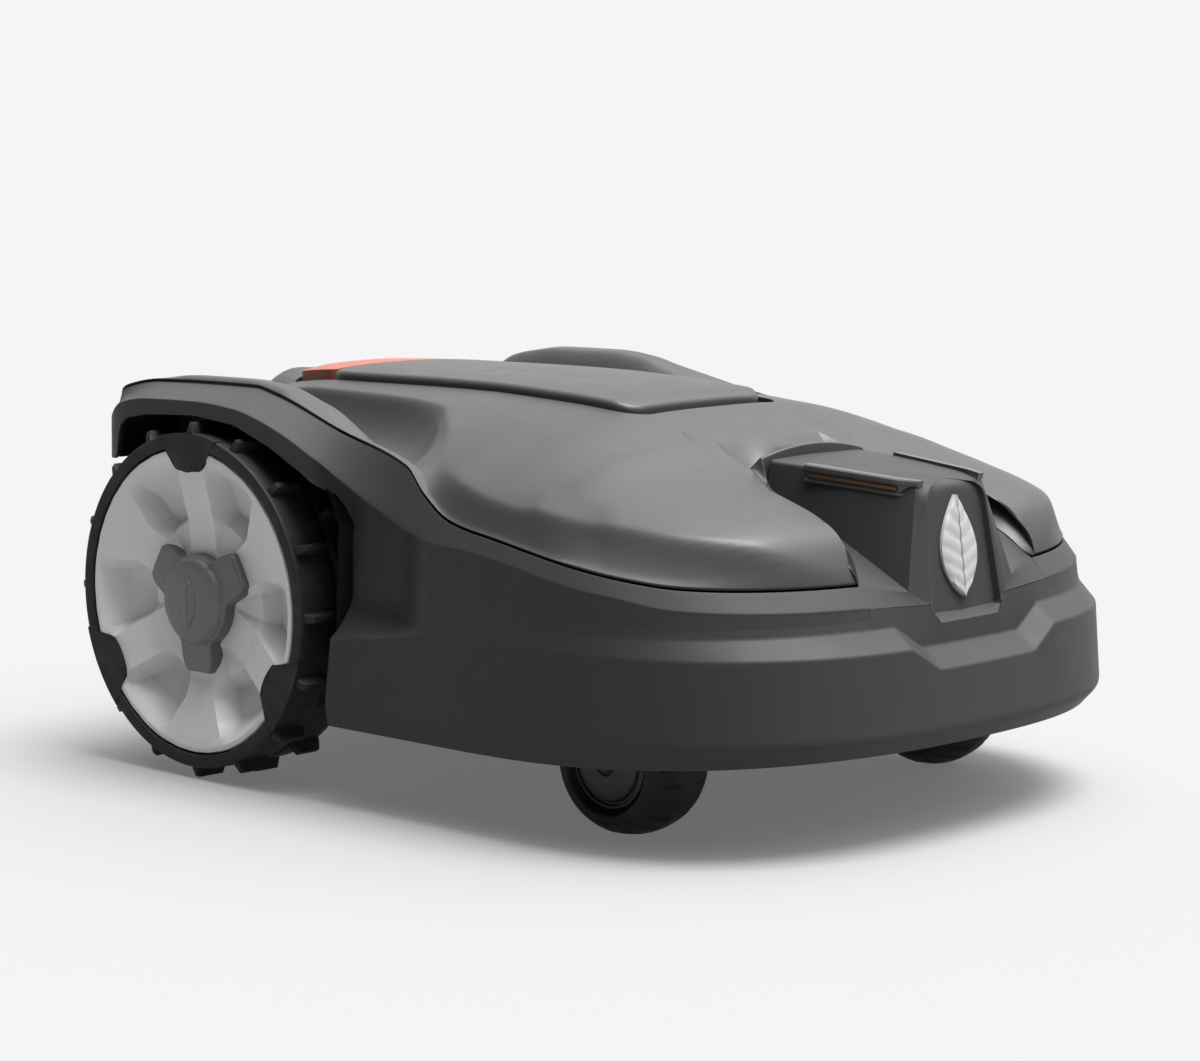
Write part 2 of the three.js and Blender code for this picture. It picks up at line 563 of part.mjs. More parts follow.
// A stem, a crown over the wheel and one arm down its inner side.
function casterArm(side) {
  const { x, y, half, stem, r } = CASTER;
  const innerFace = y - half - 2;
  const crown = plate([[x + 15, y + 10], [x + 4, y + 16], [x - 10, y + 14], [casterWheelX - 15,
    innerFace], [casterWheelX - 15, innerFace - 6], [x + 15, innerFace - 6]], r * 2 + 1.5, 93.5);
  const arm = sidePlate([[casterWheelX - 13, 93.5], [x + 15, 93.5], [casterWheelX + 12, r - 8],
    [casterWheelX + 6, r - 12], [casterWheelX - 6, r - 12], [casterWheelX - 12, r - 8]],
  innerFace - 6, innerFace);
  const made = join(upright(stem, 91, 112, x, y), crown, arm,
    crosswise(12, innerFace - 9, innerFace, casterWheelX, r, 20));
  return sided(side, cut(made, crosswise(CASTER.axle + GAP, innerFace - 7, innerFace + 20,
    casterWheelX, r, 16)));
}

const casterAxle = (side) => sided(side, crosswise(CASTER.axle, CASTER.y - CASTER.half - 8.5,
  CASTER.y + CASTER.half - 3, casterWheelX, CASTER.r, 16));

const casterTurned = (side, profile, sides) => sided(side,
  wheelTurned(profile.map(([r, out]) => [r, CASTER.y + out]), sides,
    { x: casterWheelX, z: CASTER.r }));

const casterHub = (side) => casterTurned(side, [[CASTER.axle + GAP, -22], [24, -22], [CASTER.hub, -18],
  [CASTER.hub, 18], [23, 22], [12, 24], [CASTER.axle + GAP, 24.5], [CASTER.axle + GAP, -22]], 20);

const casterTyre = (side) => casterTurned(side, [[CASTER.hub + GAP, -20], [31, -25], [38, -21],
  [42.5, -12], [44, 0], [42.5, 12], [38, 21], [31, 25], [CASTER.hub + GAP, 20],
  [CASTER.hub + GAP, -20]], 24);

// ---------------------------------------------------------------- cutting unit
const cuttingMotor = () => join(upright(MOTOR.r, MOTOR.bottom, MOTOR.top, CUT_X, 0, 32),
  upright(12, MOTOR.top - 1, MOTOR.top + 8, CUT_X, 0, 16));

function liftCarriage() {
  const z = MOTOR.top + GAP;
  const ring = cut(upright(MOTOR.r, z, z + 5, CUT_X, 0, 32), upright(13, z - 1, z + 9, CUT_X, 0, 16));
  const arm = block(CUT_X + 16, SCREW.x, -9, 9, z, z + 5);
  const nut = upright(12, z, z + 18, SCREW.x, 0, 20);
  return cut(join(ring, arm, nut), upright(SCREW.r + GAP, z - 2, z + 20, SCREW.x, 0, 16));
}

const pivotAt = (index) => {
  const angle = (index * 2 * Math.PI) / DISC.blades + Math.PI / 6;
  return [CUT_X + DISC.pivot * Math.cos(angle), DISC.pivot * Math.sin(angle), angle];
};

function bladeDisc() {
  const { r, z, t } = DISC;
  const disc = turned([[0, 48.5], [12, 48.5], [14, z], [r - 3, z], [r, z + 1], [r, z + t],
    [20, z + t], [14, 64], [0, 64], [0, 48.5]], 32).translate([CUT_X, 0, 0]);
  const holes = [0, 1, 2].map((i) => pivotAt(i)).map(([x, y]) => upright(2.6, z - 2, z + 5, x, y, 12));
  return cut(disc, ...holes);
}

const bladeScrew = (index) => {
  const [x, y] = pivotAt(index);
  return join(upright(2.3, 47.6, DISC.z + DISC.t, x, y, 12), upright(4.6, 47.2, 48.9, x, y, 12));
};

function blade(index) {
  const [x, y, angle] = pivotAt(index);
  const outline = [[-6, -7], [-6, 7], [-4, 9], [28, 9], [30, 7], [30, -7], [28, -9], [-4, -9]];
  const flat = plate(outline.toReversed(), 49.3, 50.3).rotate([0, 0, (angle * 180) / Math.PI]);
  return cut(flat.translate([x, y, 0]), upright(2.7, 45, 55, x, y, 12));
}

const skidPlate = () => turned([[0, SKID.z], [SKID.r - 4, SKID.z], [SKID.r, SKID.z + 1.5],
  [SKID.r, SKID.z + SKID.t - 1], [SKID.r - 3, SKID.z + SKID.t], [10, SKID.z + SKID.t],
  [9, 48.2], [0, 48.2], [0, SKID.z]], 28).translate([CUT_X, 0, 0]);

// ---------------------------------------------------------------- controls
const leadScrew = () => upright(SCREW.r, 100, LEVEL.tower + 4.5, SCREW.x, 0, 16);

const heightKnob = () => cut(join(upright(19, 200.6, 209, SCREW.x, 0, 24),
  block(SCREW.x - 17, SCREW.x + 17, -3, 3, 208, 213)),
upright(SCREW.r + GAP, 198, 204.8, SCREW.x, 0, 16));

const panelHoles = { display: [-140, -100, -28, 28], keyY: [-27, -9, 9, 27], keyX: -82 };

function controlPanel() {
  const [x0, x1, y0, y1] = panelHoles.display;
  const slab = plate(roundedPlan(-150, 34, 48, 10), LEVEL.tower + GAP, 200);
  const keys = panelHoles.keyY.map((y) => block(-88.4, -75.6, y - 6.4, y + 6.4, 190, 205));
  return cut(slab, block(x0, x1, y0, y1, 190, 205), ...keys,
    upright(SCREW.r + 1, 190, 205, SCREW.x, 0, 20), upright(9.4, 190, 205, -48, 0, 20));
}

const displayWindow = () => block(-139.7, -100.3, -27.7, 27.7, LEVEL.tower + GAP, 199.4);
const key = (index) => block(-88, -76, panelHoles.keyY[index] - 6, panelHoles.keyY[index] + 6,
  LEVEL.tower + 1.4, 202);
const powerKey = () => upright(9, LEVEL.tower + 1.8, 202.5, -48, 0, 20);

// ---------------------------------------------------------------- assembly
const group = new THREE.Group();
const place = (name, made, material) => {
  const mesh = new THREE.Mesh(geometryOf(made), material);
  mesh.name = name;
  group.add(mesh);
};

place("body_skirt", lowerBody(), BODY);
place("top_cover", topCover(), COVER);
place("hatch_lid", hatchLid(), COVER);
place("hatch_hinge_pin", hatchPin(), STEEL);
place("stop_button", stopBar(), ORANGE);
place("nose_badge", noseBadge(), LIGHT);

place("chassis_lower", chassisLower(), BLACK);
place("chassis_upper", chassisUpper(), BLACK);
place("battery_pack", batteryPack(), BLACK);
place("battery_cover", batteryCover(), BODY);
place("main_board", mainBoard(), CIRCUIT);

place("cutting_motor", cuttingMotor(), STEEL);
place("lift_carriage", liftCarriage(), BLACK);
place("blade_disc", bladeDisc(), BODY);
place("skid_plate", skidPlate(), BLACK);
for (let index = 0; index < DISC.blades; index++) {
  place(`blade_${index + 1}`, blade(index), STEEL);
  place(`blade_screw_${index + 1}`, bladeScrew(index), STEEL);
}

place("lead_screw", leadScrew(), STEEL);
place("height_knob", heightKnob(), ORANGE);
place("control_panel", controlPanel(), BLACK);
place("display_window", displayWindow(), WINDOW);
place("power_key", powerKey(), ORANGE);
panelHoles.keyY.forEach((_, index) => place(`key_${index + 1}`, key(index), CAP));

for (const [end, x, y] of POSTS) {
  place(`${end}_post_left`, suspensionPost(x, y), RUBBER);
  place(`${end}_post_right`, suspensionPost(x, -y), RUBBER);
}

for (const [name, side] of [["left", 1], ["right", -1]]) {
  place(`contact_holder_${name}`, contactHolder(side), BLACK);
  place(`contact_strip_${name}`, contactStrip(side), COPPER);
  place(`gear_motor_${name}`, gearMotor(side), BLACK);
  place(`drive_shaft_${name}`, driveShaft(side), STEEL);
  place(`rear_rim_${name}`, wheelRim(side), LIGHT);
  place(`rear_tyre_${name}`, wheelTyre(side), RUBBER);
  place(`hub_cap_${name}`, hubCap(side), CAP);
  place(`caster_bush_${name}`, stemBush(side), STEEL);
  place(`caster_arm_${name}`, casterArm(side), BLACK);
  place(`caster_axle_${name}`, casterAxle(side), STEEL);
  place(`caster_hub_${name}`, casterHub(side), BLACK);
  place(`caster_tyre_${name}`, casterTyre(side), RUBBER);
}

export default group;
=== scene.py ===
import json
import math

import bmesh
import bpy
import numpy as np
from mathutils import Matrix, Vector


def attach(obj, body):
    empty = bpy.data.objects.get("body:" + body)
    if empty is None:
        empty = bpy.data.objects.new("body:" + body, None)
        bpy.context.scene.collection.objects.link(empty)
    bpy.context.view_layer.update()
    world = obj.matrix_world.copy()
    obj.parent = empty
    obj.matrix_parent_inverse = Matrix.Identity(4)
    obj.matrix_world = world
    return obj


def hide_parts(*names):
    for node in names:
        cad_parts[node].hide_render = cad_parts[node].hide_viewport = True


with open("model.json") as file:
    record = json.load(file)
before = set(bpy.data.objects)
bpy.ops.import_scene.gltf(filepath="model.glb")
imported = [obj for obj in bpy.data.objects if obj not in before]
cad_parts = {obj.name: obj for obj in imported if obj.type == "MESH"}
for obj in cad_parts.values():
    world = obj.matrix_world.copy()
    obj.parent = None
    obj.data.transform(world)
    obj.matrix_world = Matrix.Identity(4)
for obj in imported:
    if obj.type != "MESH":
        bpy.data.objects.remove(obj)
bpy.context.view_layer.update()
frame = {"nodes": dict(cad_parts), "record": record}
nodes = frame["nodes"]
scene = bpy.context.scene
scene.view_settings.view_transform = "Standard"
MM = 0.001


# ---------------------------------------------------------------- camera, floor and light
CAMERA_AT = Vector((1.3776, -1.4830, 0.4114))
CAMERA_TO = Vector((-0.0232, 0.0, 0.1272))
LENS_MM = 99.0
SHIFT_Y = 0.0246


def look_at(obj, target):
    obj.rotation_mode = "QUATERNION"
    obj.rotation_quaternion = (target - obj.location).to_track_quat("-Z", "Y")


def make_camera():
    data = bpy.data.cameras.new("camera")
    data.sensor_width = 36.0
    data.lens = LENS_MM
    data.shift_y = SHIFT_Y
    data.clip_start, data.clip_end = 0.05, 900.0
    camera = bpy.data.objects.new("camera", data)
    scene.collection.objects.link(camera)
    camera.location = CAMERA_AT
    look_at(camera, CAMERA_TO)
    scene.camera = camera


def sun_light(name, towards, spread_deg, strength):
    data = bpy.data.lights.new(name, "SUN")
    data.angle = math.radians(spread_deg)
    data.energy = strength
    light = bpy.data.objects.new(name, data)
    scene.collection.objects.link(light)
    light.location = Vector(towards) * 3
    look_at(light, Vector((0, 0, 0)))


BACKDROP = 0.913  # what the camera sees behind the mower
# the way each glow faces, the cosine where it starts, and its least and most strength
OVERHEAD = ((0.22, 0.3, 1.0), 0.5, 0.02, 3.7)
BEHIND = ((-0.68, 0.72, 0.15), 0.1, 0.0, 0.95)
KEY_LIGHT = ((0.27, 0.12, 1.0), 34, 5.8)  # where it comes from, its spread in degrees, strength
FLOOR_ALBEDO, FLOOR_GLOW = 0.222, 0.14
FLOOR_REACH = 400.0  # metres


def make_world():
    """A pale backdrop, a soft light overhead and a weaker one low behind the mower."""
    world = bpy.data.worlds.new("studio")
    scene.world = world
    world.use_nodes = True
    tree = world.node_tree
    add, link = tree.nodes.new, tree.links.new
    place = add("ShaderNodeTexCoord")

    def glow(towards, start, least, most):
        facing, rise = add("ShaderNodeVectorMath"), add("ShaderNodeMapRange")
        facing.operation = "DOT_PRODUCT"
        facing.inputs[1].default_value = Vector(towards).normalized()
        link(place.outputs["Generated"], facing.inputs[0])
        link(facing.outputs["Value"], rise.inputs["Value"])
        rise.interpolation_type = "SMOOTHSTEP"
        for end, value in (("From Min", start), ("From Max", 1.0),
                           ("To Min", least), ("To Max", most)):
            rise.inputs[end].default_value = value
        return rise.outputs["Result"]

    both = add("ShaderNodeMath")
    link(glow(*OVERHEAD), both.inputs[0])
    link(glow(*BEHIND), both.inputs[1])
    sky, seen = tree.nodes["Background"], add("ShaderNodeBackground")
    link(both.outputs["Value"], sky.inputs["Strength"])
    sky.inputs["Color"].default_value = (1, 1, 1, 1)
    seen.inputs["Color"].default_value = (1, 1, 1, 1)
    seen.inputs["Strength"].default_value = BACKDROP
    path, choose = add("ShaderNodeLightPath"), add("ShaderNodeMixShader")
    link(path.outputs["Is Camera Ray"], choose.inputs["Fac"])
    link(sky.outputs["Background"], choose.inputs[1])
    link(seen.outputs["Background"], choose.inputs[2])
    link(choose.outputs["Shader"], tree.nodes["World Output"].inputs["Surface"])


# ---------------------------------------------------------------- materials
def shader(name, colour, roughness, metal=0.0):
    material = bpy.data.materials.new(name)
    material.use_nodes = True
    tree = material.node_tree
    bsdf = tree.nodes["Principled BSDF"]
    bsdf.inputs["Base Color"].default_value = (*colour, 1)
    bsdf.inputs["Roughness"].default_value = roughness
    bsdf.inputs["Metallic"].default_value = metal
    return material, tree, bsdf


def noise(tree, scale, detail, stretch=None):
    place = tree.nodes.new("ShaderNodeTexCoord")
    texture = tree.nodes.new("ShaderNodeTexNoise")
    texture.inputs["Scale"].default_value = scale
    texture.inputs["Detail"].default_value = detail
    source = place.outputs["Object"]
    if stretch:
        mapping = tree.nodes.new("ShaderNodeMapping")
        mapping.inputs["Scale"].default_value = stretch
        tree.links.new(source, mapping.inputs["Vector"])
        source = mapping.outputs["Vector"]
    tree.links.new(source, texture.inputs["Vector"])
    return texture.outputs["Fac"]


def spread(tree, value, low, high, source=(0.3, 0.7)):
    """Maps a value's source range onto low to high."""
    node = tree.nodes.new("ShaderNodeMapRange")
    node.inputs["From Min"].default_value, node.inputs["From Max"].default_value = source
    node.inputs["To Min"].default_value, node.inputs["To Max"].default_value = low, high
    tree.links.new(value, node.inputs["Value"])
    return node.outputs["Result"]


def mixed(tree, factor, first, second):
    node = tree.nodes.new("ShaderNodeMix")
    node.data_type = "RGBA"
    node.inputs["A"].default_value = (*first, 1)
    node.inputs["B"].default_value = (*second, 1)
    tree.links.new(factor, node.inputs["Factor"])
    return node.outputs["Result"]


def bumped(tree, bsdf, heights):
    """Chains bumps of (height, distance in metres, strength) into the normal."""
    normal = None
    for height, distance, strength in heights:
        node = tree.nodes.new("ShaderNodeBump")
        node.inputs["Distance"].default_value = distance
        node.inputs["Strength"].default_value = strength
        tree.links.new(height, node.inputs["Height"])
        if normal:
            tree.links.new(normal, node.inputs["Normal"])
        normal = node.outputs["Normal"]
    tree.links.new(normal, bsdf.inputs["Normal"])


def moulded(name, colour, roughness, grain=0.00004, edge_wear_and_highlight=0.25, gloss=0.5):
    """Moulded plastic: a fine eroded grain, faint mottling and paler edges, partly rubbed wear and
    partly a painted highlight that makes the edges look rounded and smooth.
    """
    material, tree, bsdf = shader(name, colour, roughness)
    bsdf.inputs["Specular IOR Level"].default_value = gloss
    fine = noise(tree, 1400, 2)
    broad = noise(tree, 14, 4)
    tint = spread(tree, broad, 0.0, 1.0, (0.35, 0.65))
    pale = [min(1, c * 1.035) for c in colour]
    dim = [c * 0.97 for c in colour]
    body = mixed(tree, tint, dim, pale)
    geometry = tree.nodes.new("ShaderNodeNewGeometry")
    # convex edges are made paler here: partly rubbed wear, partly a painted highlight where a
    # rounded edge would catch the light
    edge = spread(tree, geometry.outputs["Pointiness"], 0.0, edge_wear_and_highlight, (0.52, 0.62))
    worn_and_highlit_edge = mixed(tree, edge, colour, [min(1, c * 1.9 + 0.02) for c in colour])
    tree.links.new(body, worn_and_highlit_edge.node.inputs["A"])
    tree.links.new(worn_and_highlit_edge, bsdf.inputs["Base Color"])
    rough = spread(tree, noise(tree, 60, 5), roughness - 0.03, roughness + 0.03)
    tree.links.new(rough, bsdf.inputs["Roughness"])
    bumped(tree, bsdf, [(fine, grain, 0.6), (noise(tree, 420, 2), grain * 2, 0.25)])
    return material


def rubber(name, colour, roughness, dust=0.3):
    """Tyre rubber: pitted, with dusty paler patches."""
    material, tree, bsdf = shader(name, colour, roughness)
    bsdf.inputs["Specular IOR Level"].default_value = 0.25
    patches = spread(tree, noise(tree, 40, 6), 0.0, dust, (0.45, 0.75))
    tree.links.new(mixed(tree, patches, colour, [c * 2.6 + 0.01 for c in colour]),
                   bsdf.inputs["Base Color"])
    tree.links.new(spread(tree, noise(tree, 90, 4), roughness - 0.1, roughness + 0.08),
                   bsdf.inputs["Roughness"])
    bumped(tree, bsdf, [(noise(tree, 900, 3), 0.00008, 0.7)])
    return material


def metal(name, colour, roughness, stretch=(1, 1, 1)):
    """Drawn or brushed metal with fine streaks."""
    material, tree, bsdf = shader(name, colour, roughness, 1.0)
    streaks = noise(tree, 300, 4, stretch)
    tree.links.new(mixed(tree, spread(tree, streaks, 0, 1), [c * 0.8 for c in colour], colour),
                   bsdf.inputs["Base Color"])
    tree.links.new(spread(tree, streaks, roughness - 0.08, roughness + 0.12),
                   bsdf.inputs["Roughness"])
    bumped(tree, bsdf, [(streaks, 0.00002, 0.5)])
    return material


BODY = moulded("body_plastic", (0.035, 0.0353, 0.0358), 0.5, gloss=0.14)
COVER = moulded("cover_plastic", (0.034, 0.0343, 0.0347), 0.42, gloss=0.34)
RIM = moulded("rim_plastic", (0.55, 0.555, 0.56), 0.45, edge_wear_and_highlight=0.1)
CAP = moulded("cap_plastic", (0.1, 0.101, 0.103), 0.42)
BLACK = moulded("black_plastic", (0.009, 0.009, 0.0095), 0.5)
HOLDER = moulded("holder_plastic", (0.05, 0.05, 0.052), 0.3, edge_wear_and_highlight=0.4)
SIGNAL = moulded("signal_plastic", (0.26, 0.06, 0.036), 0.42)
BADGE = moulded("badge_plastic", (0.34, 0.34, 0.342), 0.35, edge_wear_and_highlight=0.05)
KEY = moulded("key_rubber", (0.16, 0.162, 0.165), 0.6)
TYRE = rubber("tyre_rubber", (0.012, 0.012, 0.0125), 0.62)
POST = rubber("post_rubber", (0.02, 0.02, 0.02), 0.7)
STEEL = metal("steel", (0.55, 0.55, 0.56), 0.3, (1, 12, 1))
COPPER = metal("contact_copper", (0.22, 0.13, 0.08), 0.32, (14, 1, 1))
WINDOW = moulded("display_window", (0.02, 0.024, 0.022), 0.12, grain=0.000004, edge_wear_and_highlight=0.05)
BOARD = moulded("circuit_board", (0.015, 0.075, 0.03), 0.4, grain=0.00012)


# ---------------------------------------------------------------- mesh building
WELD_MM = 0.02  # points closer than this become one


class Shape:
    """The vertices and faces of one piece, in millimetres."""

    def __init__(self):
        self.points, self.faces = [], []

    def grid(self, rows, closed=False, flip=False):
        rows = np.asarray(rows, float)
        base, (count, width) = len(self.points), rows.shape[:2]
        self.points.extend(rows.reshape(-1, 3).tolist())
        for r in range(count - 1):
            for c in range(width if closed else width - 1):
                d = (c + 1) % width
                quad = [base + r * width + c, base + r * width + d,
                        base + (r + 1) * width + d, base + (r + 1) * width + c]
                self.faces.append(quad[::-1] if flip else quad)
        return self

    def both_sides(self, rows, flip=False):
        """A grid and its mirror image across the centre plane."""
        self.grid(rows, flip=flip)
        self.grid(np.asarray(rows, float) * [1, -1, 1], flip=not flip)
        return self


def piece(name, shape, material, body, replaces=(), sharp=32, thick=0.0, bevel=0.0):
    """Makes one finished piece of the mower from a Shape and hangs it on its body."""
    mesh = bpy.data.meshes.new(name)
    mesh.from_pydata((np.array(shape.points, float) * MM).tolist(), [], shape.faces)
    work = bmesh.new()
    work.from_mesh(mesh)
    bmesh.ops.remove_doubles(work, verts=work.verts, dist=WELD_MM * MM)
    bmesh.ops.dissolve_degenerate(work, edges=work.edges, dist=0.001 * MM)
    work.to_mesh(mesh)
    work.free()
    made = bpy.data.objects.new(name, mesh)
    scene.collection.objects.link(made)
    if thick:
        solid = made.modifiers.new("wall", "SOLIDIFY")
        solid.thickness, solid.offset = thick * MM, -1
    if bevel:
        chamfer = made.modifiers.new("rounding", "BEVEL")
        chamfer.width, chamfer.segments = bevel * MM, 3
        chamfer.limit_method, chamfer.angle_limit = "ANGLE", math.radians(35)
        chamfer.use_clamp_overlap = True
    if made.modifiers:
        shown = made.evaluated_get(bpy.context.evaluated_depsgraph_get())
        final = bpy.data.meshes.new_from_object(shown)
        made.modifiers.clear()
        made.data = final
    made.data.shade_smooth()
    made.data.set_sharp_from_angle(angle=math.radians(sharp))
    made.data.materials.clear()
    made.data.materials.append(material)
    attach(made, body)
    if replaces:
        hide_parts(*replaces)


def through(points):
    """A smooth curve through (x, value) points that never overshoots between them."""
    xs, vs = np.array(points, float).T
    slope = np.diff(vs) / np.diff(xs)
    tangent = np.empty_like(vs)
    tangent[0], tangent[-1] = slope[0], slope[-1]
    before, after = slope[:-1], slope[1:]
    total = np.where(before * after > 0, before + after, 1)
    tangent[1:-1] = np.where(before * after > 0, 2 * before * after / total, 0)

    def value(x):
        x = np.clip(x, xs[0], xs[-1])
        i = np.clip(np.searchsorted(xs, x, side="right") - 1, 0, len(xs) - 2)
        span = xs[i + 1] - xs[i]
        t = (x - xs[i]) / span
        rise = t * t * (3 - 2 * t)
        lean = (1 - t) * tangent[i] - t * tangent[i + 1]
        return vs[i] + (vs[i + 1] - vs[i]) * rise + span * t * (1 - t) * lean

    return value


def ease(x, start, end):
    t = np.clip((x - start) / (end - start), 0, 1)
    return t * t * (3 - 2 * t)


def sweep(stations, radii, counts, arc=4):
    """Rows through stations of equally many points: straight runs of counts[k] steps, with the
    corner at station k rounded off by radii[k]."""
    stations = [np.asarray(s, float) for s in stations]
    rows = [stations[0]]
    start = stations[0]
    for k in range(1, len(stations)):
        here = stations[k]
        last = k == len(stations) - 1
        radius = np.zeros(1) if last else np.asarray(radii[k], float)
        arrive = here - stations[k - 1]
        length = np.linalg.norm(arrive, axis=-1, keepdims=True) + 1e-9
        if radius.any():
            leave = stations[k + 1] - here
            reach = np.linalg.norm(leave, axis=-1, keepdims=True) + 1e-9
            room = np.minimum(radius, 0.45 * np.minimum(length, reach))
            end, after = here - arrive / length * room, here + leave / reach * room
        else:
            end = here
        rows += [start + (end - start) * (i + 1) / counts[k - 1] for i in range(counts[k - 1])]
        start = end
        if radius.any():
            for i in range(1, arc + 1):
                t = i / arc
                rows.append(end * (1 - t) ** 2 + here * 2 * t * (1 - t) + after * t * t)
            start = after
    return np.array(rows)


def along(points, count, smooth=False):
    """count points evenly along a 3-D polyline given by its corner points."""
    points = np.array(points, float)
    length = np.concatenate([[0], np.cumsum(np.linalg.norm(np.diff(points, axis=0), axis=1))])
    steps = np.linspace(0, length[-1], count)
    if smooth:
        return np.stack([through(list(zip(length, points[:, k])))(steps) for k in range(3)], 1)
    return np.stack([np.interp(steps, length, points[:, k]) for k in range(3)], 1)


# ---------------------------------------------------------------- body surface
FRONT_X, REAR_X = 100.0, -205.0  # centres of the rounded front and rear of the plan outline
FRONT_POWER, REAR_POWER = 2.65, 5.0  # how square the outline is there
HALF_WIDTH = 200.0  # of the cover between them
DOME_FRONT, DOME_REAR = (156.5, 2.6), (75.0, 2.9)  # reach and power of the dome's own outline
POD_Y = 166.0  # crest of the cover's rim over each rear wheel
POD_JOIN = 6.0  # reach of the soft join between the dome and that rim

# Heights and reaches along the mower, each through (x, value) points. The dome falls from its
# crown to an edge at a share of the half width, and a flank drops from the edge to the foot.
crown_z = through([(-290, 205), (-270, 222), (-250, 232), (-235, 236), (-190, 236.8),
                   (-110, 237.5), (-20, 236), (60, 231), (110, 216), (135, 204), (155, 197.5),
                   (190, 189.5), (217, 182), (240, 172), (262, 162)])
dome_power = through([(-290, 2.7), (40, 2.7), (100, 3.6), (155, 6), (262, 6)])
edge_share = through([(-290, 0.42), (-187, 0.44), (-102, 0.49), (-50, 0.57), (-20, 0.69),
                      (7, 0.82), (40, 0.925), (70, 0.945), (110, 0.935), (160, 0.91)])
edge_z = through([(-290, 192), (-240, 223), (-187, 231), (-102, 231), (-50, 230), (-28, 225),
                  (0, 212.5), (20, 204), (40, 197), (70, 189), (96, 185), (126, 183),
                  (155, 180.8), (190, 176.5), (217, 173), (240, 163), (262, 155)])
foot_z = through([(-290, 188), (-240, 198), (-100, 196), (-42, 196), (0, 198), (14, 194),
                  (27, 185.5), (47, 175.5), (60, 172.5), (84, 168.7), (108, 164.4), (142, 158.4),
                  (173, 153.2), (200, 149), (262, 147)])
# the seam between the cover and the body
seam_y = through([(-290, 214), (-270, 203), (-260, 192), (-250, 183), (-237, 175.5),
                  (-205, 172.5), (-149, 172), (-131, 173), (-60, 184), (7, 193), (23, 196),
                  (45, 198.5), (70, 200), (262, 200)])
seam_z = through([(-290, 200), (-275, 219), (-260, 233.5), (-237, 238.3), (-149, 239.3),
                  (-131, 236.4), (-60, 219.6), (7, 203.9), (23, 190.3), (45, 177.2), (60, 173.6),
                  (84, 169.8), (108, 165.6), (142, 159.4), (173, 154.2), (200, 150.4), (262, 147)])
SEAM = (153.4, seam_y, 75.0)  # its reach in front, to the side and behind
# the rim over the rear wheel, the crease below the seam, the body's side and its bottom edge
pod_z = through([(-290, 200), (-269, 229), (-240, 238), (-213, 241.5), (-162, 242), (-129, 239),
                 (-109, 233), (-96, 229), (-75, 218), (-50, 203), (-30, 190), (0, 160), (30, 100)])
crease_z = through([(-290, 196), (-275, 202), (-262, 210), (-252, 219), (-240, 226),
                    (-215, 230), (-168, 231), (-131, 228.5), (-113, 224.5), (-90, 217),
                    (-68, 207.5), (-38, 192.5), (-5, 177.5), (21, 167), (40, 163), (60, 162),
                    (84, 159.2), (108, 155.4), (142, 149), (173, 144.6), (200, 139.4),
                    (262, 135.4)])
wall_z = through([(-41, 163), (-20, 158), (20, 146), (60, 138), (100, 134), (160, 130),
                  (200, 128.5)])
bottom_z = through([(-290, 72), (-232, 72), (-228, 47), (60, 47), (190, 51), (290, 56)])


def rounded(share, power):
    """How far a rounded end still reaches at a share of its half width."""
    return (1 - share ** power) ** (1 / power)


def half_width(x):
    """Half the dome's width, which narrows round the nose and the tail."""
    ahead = np.clip((x - FRONT_X) / DOME_FRONT[0], 0, 1)
    behind = np.clip((REAR_X - x) / DOME_REAR[0], 0, 1)
    return HALF_WIDTH * np.where(ahead > 0, rounded(ahead, DOME_FRONT[1]),
                                 rounded(behind, DOME_REAR[1]))


def raw_top(x, y):
    """The cover's height before its edges are softened: the dome and the rims over the wheels."""
    across = np.abs(y)
    share = np.minimum(1, across / np.maximum(1, half_width(x)))
    edge, crown, soft, foot = edge_share(x), crown_z(x), edge_z(x), foot_z(x)
    dome = crown - (crown - soft) * (np.minimum(share, edge) / edge) ** dome_power(x)
    beyond = np.clip((share - edge) / (1 - edge), 0, 1)
    steepness = 1.3 + 6.0 * ease(-x, -10, 60)
    flank = foot + (soft - foot) * (1 - beyond) ** steepness
    z = np.where(share > edge, flank, dome)
    out = (across - POD_Y) / (seam_y(x) - POD_Y)
    rim = (seam_z(x) - pod_z(x)) * out * np.abs(out)
    inner_fall = 25 * (np.maximum(0, POD_Y - 9 - across) / 22) ** 1.5
    pod = np.where(out > 0, pod_z(x) + rim, pod_z(x) - inner_fall)
    h = np.clip(0.5 + 0.5 * (z - pod) / POD_JOIN, 0, 1)
    return pod + (z - pod) * h + POD_JOIN * h * (1 - h)


def top_z(x, y, soften=1.6):
    """The cover's height, its soft edges rounded over a few millimetres."""
    total, weights = 2 * raw_top(x, y), 2
    for reach, weight in ((soften, 1.0), (soften * 2, 0.5)):
        for turn in range(8):
            angle = turn * math.pi / 4
            total = total + weight * raw_top(x + reach * math.cos(angle),
                                             y + reach * math.sin(angle))
            weights += weight
    return total / weights


class Outline:
    """Columns down one side of the plan outline, from the nose to the tail."""

    def __init__(self, shares, side_xs, rear):
        n, m, k = len(shares), len(side_xs), len(rear)
        self.x0 = np.concatenate([np.full(n, FRONT_X), side_xs, np.full(k, REAR_X)])
        column = np.arange(n + m + k)
        self.is_front, self.is_rear = column < n, column >= n + m
        self.side = np.concatenate([shares, np.ones(m), rear])

    def at(self, front, side, rear, z, power=FRONT_POWER):
        """The columns' points at a reach ahead, to the side and behind, and a height."""
        x = (self.x0 + self.is_front * rounded(self.side, power) * front
             - self.is_rear * rounded(self.side, REAR_POWER) * rear)
        y = self.side * (side(x) if callable(side) else side)
        height = z(x, y) if callable(z) else z
        return np.stack([x, y, height + 0 * x], -1)


